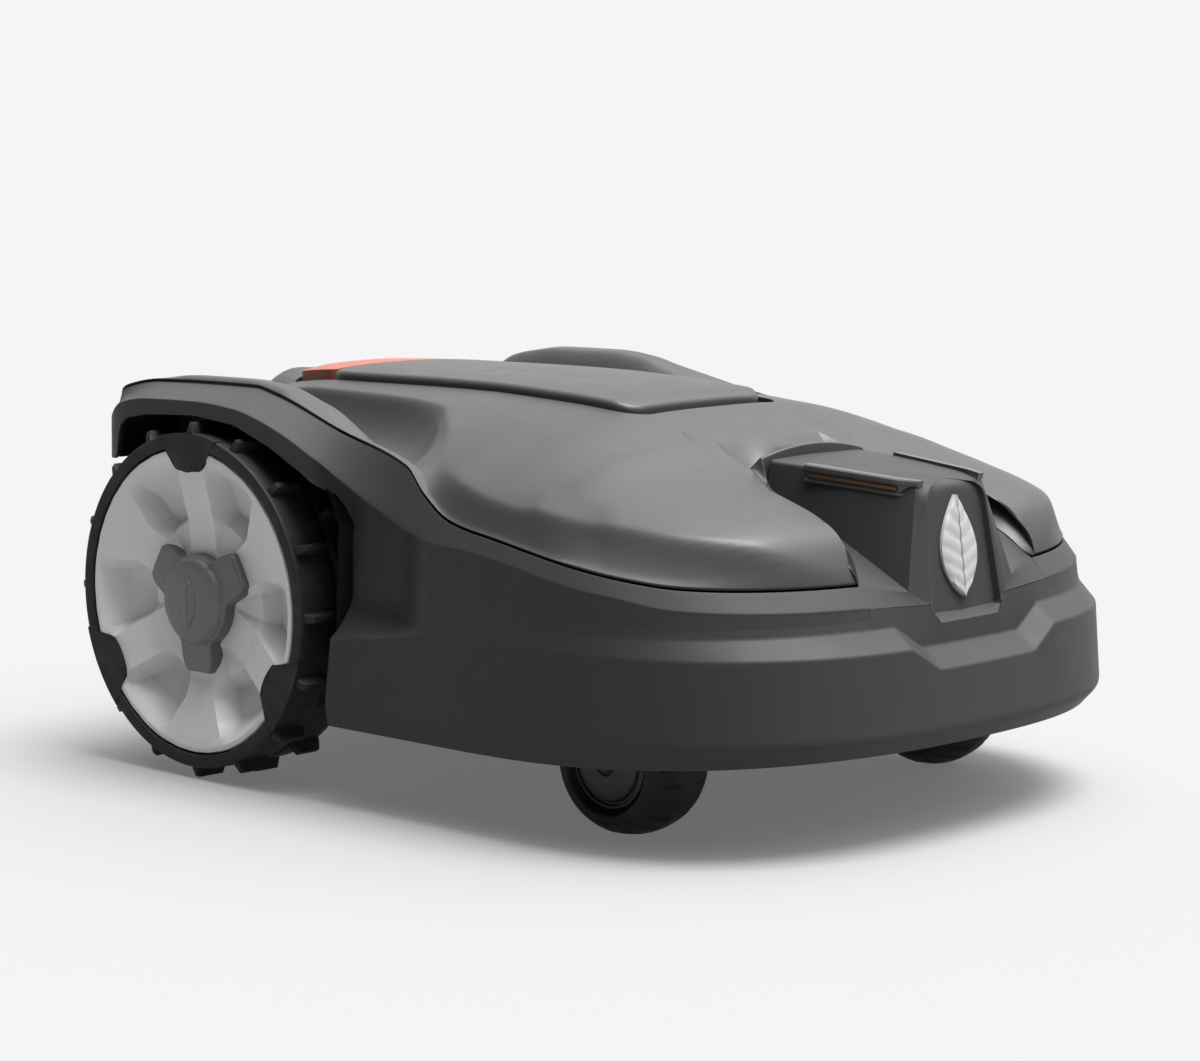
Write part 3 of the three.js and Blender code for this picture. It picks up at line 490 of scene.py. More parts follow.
def front_shares(first, last, count):
    """Evenly spread columns round the front, as shares of the half width."""
    low, high = (math.asin(s ** (FRONT_POWER / 2)) for s in (first, last))
    return [math.sin(a) ** (2 / FRONT_POWER) for a in np.linspace(low, high, count)]


def rear_shares():
    """Columns round the square rear corner and across to the middle."""
    corner = [rounded(t, REAR_POWER) for t in np.linspace(0.06, 0.97, 26)]
    return corner + list(np.linspace(corner[-1], 0, 20)[1:])


TIP = 0.4  # the column where the seam turns up beside the console
ARCH_X = -41.0  # where the body's side ends ahead of the rear wheel
ARCH = [(-41, 163), (-44, 171), (-51, 183), (-70, 194.5), (-99, 208), (-131, 219),
        (-168, 222.5), (-212, 220.5), (-233, 217), (-240, 212), (-243.5, 204), (-245.5, 190.5),
        (-275, 189), (-290, 188)]  # the wheel arch's edge, as (x, z)
LEDGE_FOOT, LEDGE_TOP = 112.7, 123.5
LEDGE_JOG = (44.0, 66.0)  # |y| between which the bumper ledge steps down round the badge
SCOOP_DEPTH = 15.0


def arch_z(x):
    xs, zs = np.array(ARCH[::-1], float).T
    return np.interp(x, xs, zs)


def ledge_drop(x, y):
    inner, outer = LEDGE_JOG
    return np.where(x < 200, 0, 13.5 * np.clip((outer - np.abs(y)) / (outer - inner), 0, 1))


def scoop(points):
    """Presses the hollow ahead of the rear wheel into the body's side."""
    x, y, z = points[..., 0], points[..., 1], points[..., 2]
    lower = np.interp(x, [-45, 30], [99, 110])
    upper = np.interp(x, [-41, 30], [125, 112.5])
    shelf = 1 - (1 - np.clip((z - lower) / (upper - lower), 0, 1)) ** 2.0
    out = points.copy()
    out[..., 1] = y - np.sign(y) * SCOOP_DEPTH * ease(x, 38, -6) * ease(x, -64, -42) * shelf
    return out


NOSE_WIDTH = 204.5


def nose_edge(shares):
    """The lower edge of the channel floor beside the console, round the nose."""
    shares = np.array(shares)
    y = shares * NOSE_WIDTH
    x = FRONT_X + 163 * rounded(shares, FRONT_POWER) + np.interp(y, [27.5, 34.5], [2.0, 0])
    z = np.interp(y, [27.5, 34.5, 82], [122, 132.6, 135.2])
    return np.stack([x, y, z], -1)


def skirt_columns():
    """The body's columns: shares round the front, x down the side and the tip's number."""
    jog = [edge / 205.5 for edge in LEDGE_JOG]
    nose = np.concatenate([[0, 0.035, 0.07, 0.1], np.linspace(0.13, 0.17, 6), [0.19],
                           np.linspace(jog[0], jog[1], 9), np.linspace(jog[1], TIP, 7)[1:]])
    front = list(nose) + front_shares(TIP, 1, 60)[1:-1]
    xs = [100, 92, 84, 76, 68, 60, 52, 46, 42, 40, *np.arange(37.5, ARCH_X, -2.5)]
    return front, xs, len(nose) - 1


def bumper_rows(ahead):
    """The body from its bottom edge up over the ledge, and the line where that stops."""
    ledge_top = ahead.at(165.5, 205.5, 77, lambda x, y: LEDGE_TOP - ledge_drop(x, y))
    low_edge = nose_edge(np.minimum(ahead.side, TIP))
    nose = (ahead.side < TIP + 1e-6) & (ahead.x0 >= FRONT_X)
    last = np.where(nose[:, None], ledge_top + (low_edge - ledge_top) * 0.5,
                    ahead.at(164, 205, 77, lambda x, y: wall_z(x)))
    lower = [
        ahead.at(170, 201.8, 71, lambda x, y: bottom_z(x) + 4, 2.45),
        ahead.at(172, 202.8, 71, lambda x, y: bottom_z(x), 2.45),
        ahead.at(176.5, 206, 74, lambda x, y: bottom_z(x), 2.45),
        ahead.at(183.6, 208.4, 79, lambda x, y: 58 + 7 * ease(x, 60, 200)),
        ahead.at(179.5, 207.3, 78, lambda x, y: LEDGE_FOOT - ledge_drop(x, y)),
        ledge_top,
        last,
    ]
    rows = sweep(lower, [0, 0.6, 1.5, 4, 1.3, 1.3, 0], [1, 1, 6, 44, 8, 24], arc=6)
    rows[..., 0] -= ease(rows[..., 0], -20, ARCH_X) * ease(rows[..., 2], 120, 47) * 6
    return scoop(rows), last


def add_arch_lip(shape, lip, corner):
    """Turns the body's edge in round the wheel arch and ahead of the wheel."""
    inner = lip - [0, 5, 0]
    inner[:, 1] = np.maximum(inner[:, 1], 150)
    edge = sweep([lip, lip - [0, 1.8, 0], inner + [0, 0, 3]], [0, 1, 0], [2, 3])
    shape.both_sides(edge, flip=True)
    turn = [corner + [-5 * math.sin(a), -5 * (1 - math.cos(a)), 0]
            for a in np.linspace(0, math.pi / 2, 7)]
    shape.both_sides(np.array([*turn, turn[-1] - [0, 14, 0]]), flip=True)


def add_tail(shape):
    """The rear wall below the mudguards, and its short sides."""
    tail = Outline([], [], [s for s in rear_shares() if s * 205 <= 150])
    top = tail.at(164, 205, 75, lambda x, y: arch_z(x))
    foot = tail.at(165, 205, 75, 72)
    shape.both_sides(sweep([foot + [2.5, 0, 0], foot, top], [0, 1, 0], [1, 16]))
    corner = np.stack([foot[0], top[0]])
    shape.both_sides(np.stack([corner + [20, 0, 0], corner]))


def body_shape():
    front, xs, tip = skirt_columns()
    shape = Shape()
    bumper, base_ahead = bumper_rows(Outline(front, [*xs, ARCH_X], []))
    shape.both_sides(bumper)

    # from there up to the seam, round the whole mower
    whole = Outline(front, [*xs, ARCH_X, *np.arange(-43.0, REAR_X, -4.0), REAR_X], rear_shares())
    seam = whole.at(*SEAM, lambda x, y: seam_z(x))
    base = whole.at(164, 205, 75, 0)
    base[:, 2] = np.where(base[:, 0] < ARCH_X, arch_z(base[:, 0]), wall_z(base[:, 0]))
    base[: len(base_ahead)] = base_ahead
    band = whole.at(163, 204.6, 75, lambda x, y: crease_z(x))
    band[:, 2] = np.clip(band[:, 2], base[:, 2] + 3, seam[:, 2] - 2.5)
    band[: tip + 1] = nose_edge(front[: tip + 1])

    def inset(reach, drop):
        return whole.at(SEAM[0] - reach, lambda x: seam_y(x) - reach, SEAM[2] - reach,
                        lambda x, y: seam_z(x) - drop)

    upper = sweep([scoop(base), scoop(band - [0, 0, 1.4]), band, seam - [0, 0, 0.9],
                   inset(1.2, 3.2), inset(9, 9)],
                  [0, 0.5, 1.6, 1.0, 0.5, 0], [14, 2, 7, 2, 3], arc=5)
    shape.both_sides(upper[:, tip:])
    shape.both_sides(sweep([base[: tip + 1], band[: tip + 1]], [0, 0], [14]))

    start = len(base_ahead) - 1
    lip = scoop(base[start:][whole.side[start:] * 205 > 148])
    add_arch_lip(shape, lip, bumper[:, -1])
    add_tail(shape)
    add_nose(shape, band[tip])
    return shape


def liner_shape():
    """The black wheel house behind the arch."""
    path = [(-46.5, 52), (-46.5, 120), (-44, 165), (-47, 174), (-54, 186), (-72, 197.5),
            (-100, 211), (-131, 222), (-168, 225.5), (-213, 223.5), (-236, 220), (-242, 214),
            (-245.5, 205), (-247, 191)]
    line = along([(x, 0, z) for x, z in path], 90)
    rows = [line + [0, y, 0] for y in (200, 196, 188, 178, 165, 153)]
    foot = rows[-1].copy()
    foot[:, 2] = np.minimum(foot[:, 2], 96)
    wall = [rows[-1] + (foot - rows[-1]) * t for t in np.linspace(0, 1, 8)]
    return Shape().both_sides(np.array([*rows, *wall[1:]]))


# the console: its top edge and its foot, from the rear centre round one side to the face's centre
CONSOLE = [
    ((149, 0, 206.8), (149, 0, 191.5)),
    ((149, 38, 206.2), (149, 42, 191.5)),
    ((152, 41.8, 206), (151.5, 45, 191)),
    ((180, 40, 204.5), (180, 45.7, 179.8)),
    ((206, 37.5, 202.6), (206, 46.3, 166.9)),
    ((230, 33.8, 200.4), (230, 47.1, 155.2)),
    ((248, 30.3, 197.4), (257.5, 48, 141.4)),
    ((252.6, 27.2, 195.6), (262.3, 33.8, 132.8)),
    ((252.8, 25.6, 195.8), (262.4, 31.4, 129.6)),
    ((249.6, 24.6, 196.4), (258.8, 30.4, 127)),
    ((249.8, 0, 196.8), (259.2, 0, 126.2)),
]
CONSOLE_STEPS = [4, 2, 6, 6, 6, 6, 2, 2, 3, 8]
GAP_LINE = [(150, 50.5, 190.5), (165, 55.5, 189.5), (188, 64.5, 180.5), (206, 71.5, 171.5),
            (230, 74.5, 161.5), (237, 75, 157), (243, 76, 152.3), (248.1, 80, 146.6)]


def add_nose(shape, gap_end):
    """The channel floor beside the console, the console and the sill under its face."""
    crease = along([foot for _, foot in CONSOLE[2:8]], 60)
    gap_line = along([*GAP_LINE, gap_end], 60)
    shape.both_sides([gap_line + (crease - gap_line) * t for t in np.linspace(0, 1, 8)])

    tops, feet = (along_each([edge[k] for edge in CONSOLE], CONSOLE_STEPS) for k in (0, 1))
    spine = tops * [1, 0, 0]
    spine[:, 0] = np.clip(tops[:, 0], 150, 242)
    spine[:, 2] = np.interp(spine[:, 0], [149, 180, 206, 230, 242],
                            [207, 205, 203.2, 201.2, 200])
    rounding = 2.0 + 7.0 * ease(tops[:, :1], 247.5, 250.5)
    shape.both_sides(sweep([spine, tops, feet], [0, rounding, 0], [8, 22], arc=9), flip=True)

    (x0, y0, z0), (x1, y1, z1) = CONSOLE[-1][1], CONSOLE[-2][1]
    ys = np.linspace(y0, y1, 9)
    sill = np.stack([np.interp(ys, [y0, y1], [x0, x1]), ys, np.interp(ys, [y0, y1], [z0, z1])], -1)
    shape.both_sides(sweep([nose_edge(ys / NOSE_WIDTH), sill], [0, 0], [4]))
    shape.both_sides([nose_edge(np.array([30.4, 31.6, 32.8, 34]) / NOSE_WIDTH),
                      [(258.8, 30.4, 127), (262.4, 31.4, 129.6), (262.35, 32.6, 131.2),
                       (262.3, 33.8, 132.8)]])


def along_each(corners, counts):
    """Points along a polyline, counts[k] of them on its k-th run."""
    points = []
    for a, b, count in zip(corners, corners[1:], counts):
        points += [np.array(a) + (np.array(b) - a) * i / count for i in range(count)]
    return np.array([*points, corners[-1]], float)


# ---------------------------------------------------------------- top cover
RECESS = dict(rear=-243, front=70, half=65, corner=14)  # round the lid and the stop bar
CONTROL_HOLE = dict(rear=-168, front=40, half=54, corner=10)
LID = dict(rear=-203, front=57, half=62, corner=14)
STOP_BAR = dict(rear=-241, front=-206, half=56, corner=6)
# the cover's edge round the console: its top and its foot, from the collar to the nose
NOTCH_TOP = [(148, 45, 207), (150.5, 46.8, 204), (153.5, 49, 199.5), (158, 52.5, 195),
             (165, 61.5, 194), (188, 75, 187), (206, 82.5, 181.5), (221, 85.6, 175.4),
             (227.6, 86, 172), (233, 85.8, 168), (238, 85.2, 163.6), (243, 84.2, 158.2),
             (247, 83, 153.4), (249.2, 82, 149.4)]
NOTCH_FOOT = [(149.5, 46.5, 193), (157, 49.5, 191.5), (165, 54.5, 190), (188, 63.5, 181),
              (206, 70.5, 172), (221, 73, 165.7), (227.6, 73.5, 163), (233, 74, 160.2),
              (238, 74.5, 157), (243, 75.5, 152.8), (246.5, 78, 149.5), (248, 80.5, 148)]
GROOVE = ([0, 1.6, 2.4, 13, 16, 34, 37], [1, 1, 0.9, -0.85, -0.9, -0.04, 0])
COVER_STEPS = 96
WELL_FLOOR, WELL_LEDGE = 223, 226


def nearest_on(plan, points):
    """For each point, the nearest point on a rounded rectangle."""
    cx = np.clip(points[:, 0], plan["rear"] + plan["corner"], plan["front"] - plan["corner"])
    cy = np.clip(points[:, 1], -plan["half"] + plan["corner"], plan["half"] - plan["corner"])
    away = points[:, :2] - np.stack([cx, cy], -1)
    length = np.linalg.norm(away, axis=1, keepdims=True)
    return np.stack([cx, cy], -1) + away / length * plan["corner"]


def level(plan, z):
    return np.concatenate([plan, np.full((len(plan), 1), float(z))], 1)


def cover_shape():
    """The cover, in columns from the well under the lid out to the seam and the notch."""
    seam = Outline(front_shares(TIP + 0.012, 1, 70)[:-1],
                   [100, *np.arange(94, REAR_X, -4.0)], rear_shares())
    rim = seam.at(*SEAM, lambda x, y: seam_z(x))
    rim[:, 2] += 0.9
    under = seam.at(SEAM[0] - 8, lambda x: seam_y(x) - 8, SEAM[2] - 8,
                    lambda x, y: seam_z(x) - 1.2)
    ys = np.linspace(0, 45, 24)[:-1]
    collar_top = np.array([(148.0, y, 212.5 - 5.5 * (y / 45) ** 2) for y in ys])
    collar_foot = np.array([(149.5, y, 193) for y in ys])
    outer = np.concatenate([collar_top, along(NOTCH_TOP, 90, smooth=True), rim])
    foot = np.concatenate([collar_foot, along(NOTCH_FOOT, 90, smooth=True), under])
    inner = nearest_on(RECESS, outer)

    # each column meets the edge's height, either in a soft swell or behind the collar's groove
    length = np.linalg.norm(outer[:, :2] - inner, axis=1)
    lift = outer[:, 2] - top_z(*outer[:, :2].T)
    collar = ease(outer[:, 1], 6, 40) * ease(-outer[:, 0], -168, -152) * (outer[:, 0] > 100)
    at_seam = np.arange(len(outer)) >= len(outer) - len(rim)
    fade = np.where(at_seam, 9.0 + 14.0 * ease(-outer[:, 0], 228, 255), 17.0)
    surface = []
    for t in np.arange(COVER_STEPS + 1) / COVER_STEPS:
        x, y = (inner + (outer[:, :2] - inner) * t).T
        away = (1 - t) * length
        swell = np.exp(-(away / fade) ** 2)
        blend = swell + (np.interp(away, *GROOVE) - swell) * collar
        surface.append(np.stack([x, y, top_z(x, y) + lift * blend], -1))

    hole = nearest_on(CONTROL_HOLE, outer)
    well = sweep([level(hole, WELL_FLOOR), level(hole, WELL_LEDGE), level(inner, WELL_LEDGE),
                  surface[0], surface[1]], [0, 0.5, 1.2, 1.0, 0], [1, 4, 3, 1], arc=4)
    tucked = outer + (foot - outer) * [0.12, 0.12, 0] - [0, 0, 1.3]
    lip = sweep([surface[-2], surface[-1], tucked, foot], [0, 0.9, 0.4, 0], [1, 2, 5], arc=5)
    rows = np.concatenate([well[:-1], np.array(surface[1:-1]), lip[1:]])
    return Shape().both_sides(rows, flip=True)


def plan_border(plan, steps=10, spacing=5):
    """Points round a rounded rectangle."""
    rear, front, half, corner = plan["rear"], plan["front"], plan["half"], plan["corner"]
    border = []
    for cx, cy, start in ((front, half, 0), (rear, half, 90), (rear, -half, 180),
                          (front, -half, 270)):
        ox = cx - math.copysign(corner, cx - (rear + front) / 2)
        oy = cy - math.copysign(corner, cy)
        for i in range(steps + 1):
            a = math.radians(start + 90 * i / steps)
            border.append((ox + corner * math.cos(a), oy + corner * math.sin(a)))
    dense = []
    for (x0, y0), (x1, y1) in zip(border, border[1:] + border[:1]):
        count = max(1, int(math.hypot(x1 - x0, y1 - y0) / spacing))
        dense += [(x0 + (x1 - x0) * i / count, y0 + (y1 - y0) * i / count) for i in range(count)]
    return np.array(dense)


def plan_grid(plan, height, edge, depth=9.0, foot=None, rings=14):
    """A lid: a heightfield inside a rounded rectangle, its rim turned down by depth."""
    rear, front, half = plan["rear"], plan["front"], plan["half"]
    border = plan_border(plan)
    if front - rear < 2 * half:
        reach = (front - rear) / 2
        spine = np.stack([np.full(len(border), (rear + front) / 2),
                          np.clip(border[:, 1], -half + reach, half - reach)], -1)
    else:
        spine = np.stack([np.clip(border[:, 0], rear + half, front - half),
                          border[:, 1] * 0], -1)
    rows = []
    for i in range(rings + 1):
        xy = spine + (border - spine) * (i / rings)
        rows.append(np.concatenate([xy, height(xy[:, 0], xy[:, 1])[:, None]], 1))
    low = rows[-1].copy()
    low[:, 2] = foot if foot is not None else low[:, 2] - depth
    rim = sweep([rows[-2], rows[-1], low], [0, edge, 0], [1, 3], arc=5)
    return Shape().grid(np.concatenate([rows[:-1], rim[1:]]), closed=True)


def add_body():
    piece("skirt", body_shape(), BODY, "body", ["body_skirt"])
    piece("wheel_houses", liner_shape(), BLACK, "body")
    piece("cover", cover_shape(), COVER, "body", ["top_cover"])
    lid = plan_grid(LID, lambda x, y: top_z(x, y) + 2.8 - 2.6 * ease(x, 42, 57) ** 2, edge=1.8)
    piece("lid", lid, COVER, "hatch", ["hatch_lid"], thick=2.4)
    bar = plan_grid(STOP_BAR, lambda x, y: top_z(x, y) + 5.2, edge=2.2, foot=224)
    piece("stop_bar", bar, SIGNAL, "stop", ["stop_button"])


# ---------------------------------------------------------------- nose: badge and contacts
def face_x(z):
    """How far ahead the console's face stands at a height."""
    (top_x, _, top), (foot_x, _, foot) = CONSOLE[-1]
    return np.interp(z, [foot, top], [foot_x, top_x])


def leaf_patch(shape, half, low, high, place, rise, foot, flip):
    """A leaf with a sunken midrib; place(across, up, out) sets it on its surface."""
    across = np.array([-1, -0.86, -0.7, -0.5, -0.3, -0.12, -0.05, 0, 0.05, 0.12, 0.3, 0.5, 0.7,
                       0.86, 1])
    rows = []
    for v in np.linspace(0, 1, 41):
        width = half * max(0.02, math.sin(math.pi * v ** 0.85)) ** 0.9
        up = low + (high - low) * v
        ribs = 0.22 * rise * np.abs(np.sin(20 * (v - 0.14 * np.abs(across)))) ** 8
        out = rise * (1 - 0.3 * across ** 2) - 0.5 * rise * (np.abs(across) < 0.04) - ribs
        out[[0, -1]] = rise * 0.45
        row = [place(a * width, up, o) for a, o in zip(across, out)]
        rows.append([place(-1.02 * width, up, foot), *row, place(1.02 * width, up, foot)])
    shape.grid(rows, flip=flip)


def badge_shape():
    def place(a, up, out):
        return (face_x(up) + 0.2 + out, a, up)

    shape = Shape()
    leaf_patch(shape, 16.0, 134, 191, place, 3.4, 0, False)
    return shape


# sections of the charging contacts, as (out, up) from a line along the console's top edge
HOLDER_SECTION = [(-6.4, -6), (-6, 0.3), (-0.8, 0.1), (0, -0.7), (0, -3.0), (-1.6, -3.6),
                  (-1.6, -8.0), (-0.3, -8.5), (-0.3, -9.7), (-1.0, -10.4), (-6, -10.4)]
STRIP_SECTION = [(-1.7, -4.4), (-0.9, -4.6), (-0.5, -5.2), (-0.5, -6.8), (-0.9, -7.4),
                 (-1.7, -7.6)]
HOLDER_LINE = ((178, 44.6, 206.2), (250, 34.4, 200.6))


def bar_shape(section, start, end, nose, side):
    """A bar of the given section along a holder's line, narrowing inwards at its front end."""
    first, last = np.array(HOLDER_LINE, float)
    rows = []
    for t in [start, start + 0.006, *np.linspace(start + 0.02, end - nose, 16),
              *np.linspace(end - nose, end, 7)[1:]]:
        here = first + (last - first) * t
        taper = max(0.0, (t - end + nose) / nose) if nose else 0.0
        ends = 0.8 if t == start else 0.0
        rows.append([here + [0.3 * taper * z, o * (1 - 0.2 * taper) - 4.2 * taper - ends,
                             z * (1 - 0.06 * t)] for o, z in section])
    rows = np.array(rows) * [1, side, 1]
    shape = Shape().grid(rows, flip=side < 0)
    for end_row in (0, -1):
        centre = np.repeat(rows[end_row].mean(axis=0)[None], len(section), axis=0)
        shape.grid([rows[end_row], centre], flip=side > 0)
    return shape


def add_nose_parts():
    piece("badge", badge_shape(), BADGE, "body", ["nose_badge"], sharp=40)
    for side, name in ((1, "left"), (-1, "right")):
        holder = bar_shape(HOLDER_SECTION, 0.0, 1.0, 0.17, side)
        piece(f"holder_{name}", holder, HOLDER, "body",
              [f"contact_holder_{name}"])
        contact = bar_shape(STRIP_SECTION, 0.03, 0.84, 0, side)
        piece(f"contact_{name}", contact, COPPER, "body",
              [f"contact_strip_{name}"])


# ---------------------------------------------------------------- rear wheels
AXLE = (-166.0, 109.5)  # x and z
TREAD_R, LUG_R = 102.9, 109.2
TYRE_OUT = 212.9  # how far out the tyre's face stands
LUGS, CLAWS = 16, (90, 210, 330)  # lugs in each of two rows; the claws' angles in degrees


def about(axle, r, angle, out):
    """Points at a radius and an angle (from ahead towards up) about an axle, so far out."""
    r, angle, out = np.broadcast_arrays(r, angle, out)
    return np.stack([axle[0] + r * np.cos(angle), out, axle[1] + r * np.sin(angle)], -1)


def turned(shape, axle, rows, side, columns=180):
    """A surface of revolution from rows of (radius, out), where out may depend on the angle."""
    angle = np.linspace(0, 2 * math.pi, columns, endpoint=False)
    grid = [about(axle, r(angle) if callable(r) else r, angle,
                  out(angle) if callable(out) else out) for r, out in rows]
    shape.grid(np.array(grid) * [1, side, 1], closed=True, flip=side < 0)


def rounded_profile(points, radii, counts=2):
    stations = [np.array([p], float) for p in points]
    return sweep(stations, radii, [counts] * (len(points) - 1), arc=4)[:, 0]


# how far out the rim's spokes and the floors of its pockets stand, by radius
RIM_FACE = ([20, 32, 50, 70, 84, 90, 92.6, 93.4],
            [200, 200.5, 202, 207.5, 211, 212, 211.8, 210])
RIM_FLOOR = ([30, 33, 36, 50, 57, 76, 88, 90],
             [200.3, 198.5, 198, 196.5, 187, 195, 210.5, 212])
SPOKES = 6


def rim_row(r):
    """One ring of the rim's face: six spokes with slanted pockets between them."""
    face = np.interp(r, *RIM_FACE)
    floor = min(face, np.interp(r, *RIM_FLOOR))
    slant = 1.5 + 5.5 * ease(np.array(float(r)), 32, 60)
    limit, pocket = math.radians(29.8), math.radians(180 / SPOKES)
    row = []
    for spoke in range(SPOKES):
        half = 12.0 if spoke % 2 else float(np.interp(r, [40, 62, 88], [12, 13, 27]))
        turn = pocket * (1 + 2 * spoke)
        crest = min(math.asin(min(0.99, half / r)), limit - 0.01)
        foot = min(math.asin(min(0.99, (half + slant) / r)), limit)
        flank = [(0, face), (0.5 * crest, face), (crest, face),
                 (0.5 * (crest + foot), 0.5 * (face + floor)),
                 (foot, floor), (0.5 * (foot + limit), floor)]
        row += [(turn - a, out) for a, out in [(pocket, floor), *flank[:0:-1]]]
        row += [(turn + a, out) for a, out in flank]
    angles, outs = np.array(row).T
    return about(AXLE, r, angles, outs)


def rim_shape(side):
    shape = Shape()
    radii = [20, 26, 30, 31.5, 33, 34.5, 36, *np.arange(38, 50, 2), 50, 52, 54, 56, 57,
             *np.arange(59, 90, 1.8), 90, 91.4, 92.6, 93.2]
    shape.grid(np.array([rim_row(r) for r in radii]) * [1, side, 1], closed=True, flip=side < 0)
    back = [(93.2, 210.3), (93.4, 209), (93.4, 204), (91, 200), (91, 164), (87, 162.5), (85, 164),
            (83, 186), (32, 186), (28, 163), (24, 162.5), (17.5, 163)]
    turned(shape, AXLE, back, side, 144)
    return shape


def tyre_shape(side):
    shape = Shape()
    profile = rounded_profile(
        [(91.5, 164), (94.2, 204), (94.2, 212.6), (102.3, TYRE_OUT), (102.5, 206), (102.5, 186),
         (101, 184), (101, 182), (102.5, 180), (102.5, 163), (99.5, 158.4), (91.5, 158.4),
         (91.5, 164)], [0, 1, 1.4, 1.6, 2, 1, 0.6, 0.6, 1, 3, 2, 0.5, 0])
    turned(shape, AXLE, profile, side, 192)
    for count in range(LUGS):
        for shift, y0, y1 in ((0, 187, 210.5), (0.5, 161, 182)):
            lug(shape, 2 * math.pi * (count + shift) / LUGS, y0, y1, side)
    for degrees in CLAWS:
        claw(shape, math.radians(degrees), side)
    return shape


def lug(shape, angle, y0, y1, side):
    """A tread block: a bar across the tyre, narrower at its top and chamfered at its ends."""
    out = np.array([math.cos(angle), 0, math.sin(angle)])
    along_rim = np.array([-math.sin(angle), 0, math.cos(angle)])
    centre, root = np.array([AXLE[0], 0, AXLE[1]]), 100
    rows = []
    for y, top in ((y0, 103), (y0 + 2.5, LUG_R), (y1 - 2.5, LUG_R), (y1, 104)):
        rows.append([centre + out * r + along_rim * t + [0, y, 0]
                     for r, t in ((root, -3.4), (top, -2.0), (top, 2.0), (root, 3.4))])
    shape.grid(np.array(rows) * [1, side, 1], flip=side > 0)
    for row in (rows[0], rows[-1]):
        quad = np.array([[row[0], row[3]], [row[1], row[2]]]) * [1, side, 1]
        shape.grid(quad, flip=(side > 0) == (row is rows[0]))


def claw(shape, angle, side):
    """A trapezoid of the tyre that grips over the rim."""
    def at(u, v, out):
        inward = 79.5 + 1.2 * u * u
        reach = inward + v * (math.sqrt(TREAD_R ** 2 - (27 * u) ** 2) - inward)
        across = u * (11.5 + 15.5 * v)
        x = reach * math.cos(angle) - across * math.sin(angle)
        z = reach * math.sin(angle) + across * math.cos(angle)
        return (AXLE[0] + x, side * out, AXLE[1] + z)

    def face(u, v):
        return at(u, v, TYRE_OUT - 0.9 * (1 - v) * u * u)

    us, vs = np.linspace(-1, 1, 13), np.linspace(0, 1, 7)
    shape.grid([[face(u, v) for u in us] for v in vs], flip=side > 0)
    for line, turn in (([(u, 0.0) for u in us], False), ([(-1, v) for v in vs], True),
                       ([(1, v) for v in vs], False)):
        walls = [[face(u, v) for u, v in line], [at(u * 1.01, v, 204) for u, v in line]]
        shape.grid(walls, flip=(side > 0) != turn)


def cap_reach(angle):
    """The cap's outline: a disc with three blunt lobes."""
    total = 0
    for smear in np.radians(np.linspace(-5, 5, 7)):
        turn = np.degrees(angle + smear) - 30
        offset = np.radians((turn + 60) % 120 - 60)
        lobe = np.minimum(44.5 / np.cos(np.clip(offset, -1.2, 1.2)),
                          13.5 / np.maximum(0.01, np.abs(np.sin(offset))))
        total = total + np.maximum(28.5, lobe)
    return total / 7


def cap_out(r):
    """How far out the cap stands at a radius: a dome with three lower lobes."""
    dome = np.interp(r, [0, 12, 20, 24.5, 26, 28.5], [213.9, 213.5, 212.8, 211.9, 210.8, 206])
    return np.maximum(dome, 208.6 - 0.1 * (r - 28))


def cap_shape(side):
    shape = Shape()
    rows = [(lambda a, s=s: s * cap_reach(a), lambda a, s=s: cap_out(s * cap_reach(a)))
            for s in [0.001, *np.linspace(0.03, 0.95, 46)]]
    for share, drop in ((0.972, 0.25), (0.988, 0.9), (0.997, 1.9), (1.0, 3.2)):
        rows.append((lambda a, s=share: s * cap_reach(a),
                     lambda a, d=drop: cap_out(cap_reach(a) * 0.96) - d))
    rows += [(cap_reach, 203), (lambda a: cap_reach(a) * 0.995, 198)]
    turned(shape, AXLE, rows, side, 240)

    def place(a, up, out):
        return (AXLE[0] + a, side * (cap_out(math.hypot(a, up)) + out - 0.25), AXLE[1] + up)

    leaf_patch(shape, 6.5, -15, 15, place, 1.3, -0.6, side > 0)
    return shape


def add_wheels():
    for side, name in ((1, "left"), (-1, "right")):
        body = f"wheel_{name}"
        piece(f"rim_{name}", rim_shape(side), RIM, body, [f"rear_rim_{name}"],
              sharp=24)
        piece(f"tyre_{name}", tyre_shape(side), TYRE, body, [f"rear_tyre_{name}"],
              bevel=0.5)
        piece(f"cap_{name}", cap_shape(side), CAP, body, [f"hub_cap_{name}"],
              sharp=55)


# ---------------------------------------------------------------- front casters
CASTER_AXLE, CASTER_Y = (133.0, 44.0), 138
NOTCH_PITCH, NOTCH_WIDTH, NOTCH_DEPTH = 15, 3.2, 1.1  # of the tread, two in degrees


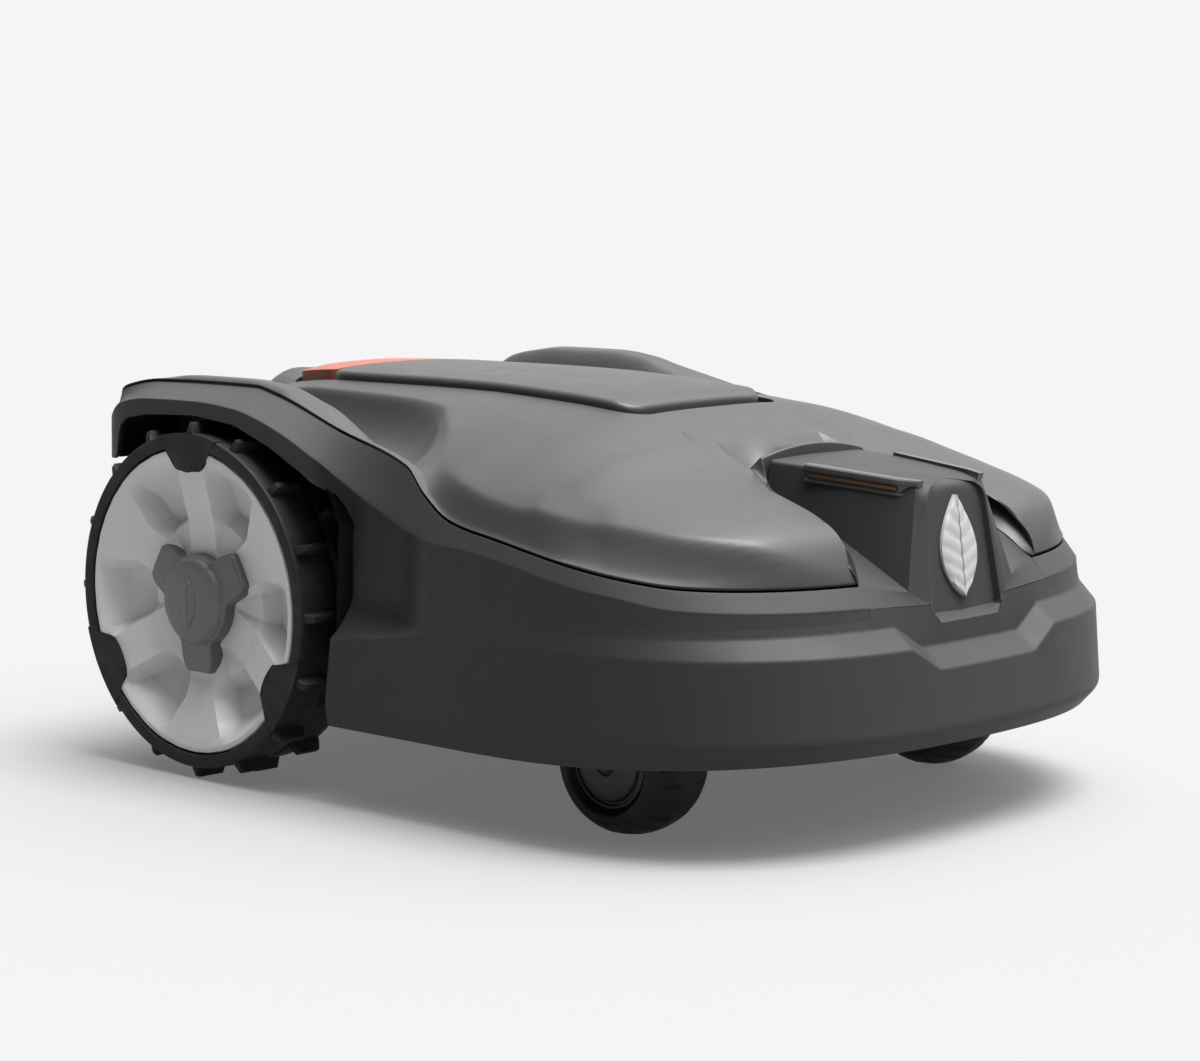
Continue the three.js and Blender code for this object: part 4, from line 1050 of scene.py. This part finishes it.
def add_casters():
    tread = rounded_profile([(27.6, 19), (30.5, 24.4), (36.5, 23.4), (41.6, 15.5), (43.9, 4),
                             (43.9, -4), (41.6, -15.5), (36.5, -23.4), (30.5, -24.4), (27.6, -19)],
                            [0, 1.5, 5, 6, 4, 4, 6, 5, 1.5, 0], 3)
    hub = rounded_profile([(0.01, 24.3), (5.2, 24.3), (6.2, 22.6), (8, 23.6), (18, 23.2),
                           (22.2, 22), (23.2, 19.6), (24.4, 19.4), (25.2, 21.2), (27.2, 20.6),
                           (27.2, -18), (24, -21.8), (7, -21.8)],
                          [0, 0.8, 0.5, 0.8, 3, 1.2, 0.5, 0.5, 0.8, 0.8, 1, 1, 0])

    def notched(r, out):
        depth = NOTCH_DEPTH if 5 < abs(out) < 20 else 0.0
        return lambda angle: r - depth * (np.degrees(angle) % NOTCH_PITCH < NOTCH_WIDTH)

    for side, name in ((1, "left"), (-1, "right")):
        tyre, disc = Shape(), Shape()
        tread_rows = [(notched(r, out), CASTER_Y + out) for r, out in tread[::-1]]
        turned(tyre, CASTER_AXLE, tread_rows, side, 240)
        turned(disc, CASTER_AXLE, [(r, CASTER_Y + out) for r, out in hub], side, 96)
        piece(f"caster_tread_{name}", tyre, TYRE, f"caster_{name}",
              [f"caster_tyre_{name}"], sharp=45)
        piece(f"caster_disc_{name}", disc, BLACK, f"caster_{name}",
              [f"caster_hub_{name}"], sharp=40)


# ---------------------------------------------------------------- assembly
def add_floor():
    """A wide plain floor, matt and faintly glowing, so that it meets the backdrop's tone."""
    far = FLOOR_REACH
    mesh = bpy.data.meshes.new("floor")
    mesh.from_pydata([(-far, -far, 0), (far, -far, 0), (far, far, 0), (-far, far, 0)], [],
                     [(0, 1, 2, 3)])
    floor = bpy.data.objects.new("floor", mesh)
    scene.collection.objects.link(floor)
    paper, _, bsdf = shader("paper", (FLOOR_ALBEDO,) * 3, 1.0)
    bsdf.inputs["Specular IOR Level"].default_value = 0.0
    bsdf.inputs["Emission Color"].default_value = (1, 1, 1, 1)
    bsdf.inputs["Emission Strength"].default_value = FLOOR_GLOW
    mesh.materials.append(paper)


make_camera()
add_body()
add_nose_parts()
add_wheels()
add_casters()
add_floor()
make_world()
sun_light("key", *KEY_LIGHT)

SLOTS = {"body_plastic": BODY, "cover_plastic": COVER, "signal_plastic": SIGNAL,
         "badge_plastic": BADGE, "rim_plastic": RIM, "cap_plastic": CAP, "black_plastic": BLACK,
         "key_rubber": KEY, "post_rubber": POST, "tyre_rubber": TYRE, "steel": STEEL,
         "contact_copper": COPPER, "display_window": WINDOW, "circuit_board": BOARD}
for part in frame["record"]["subparts"]:
    mesh = nodes[part["node"]].data
    mesh.materials.clear()
    mesh.materials.append(SLOTS[part["material_slot"]])
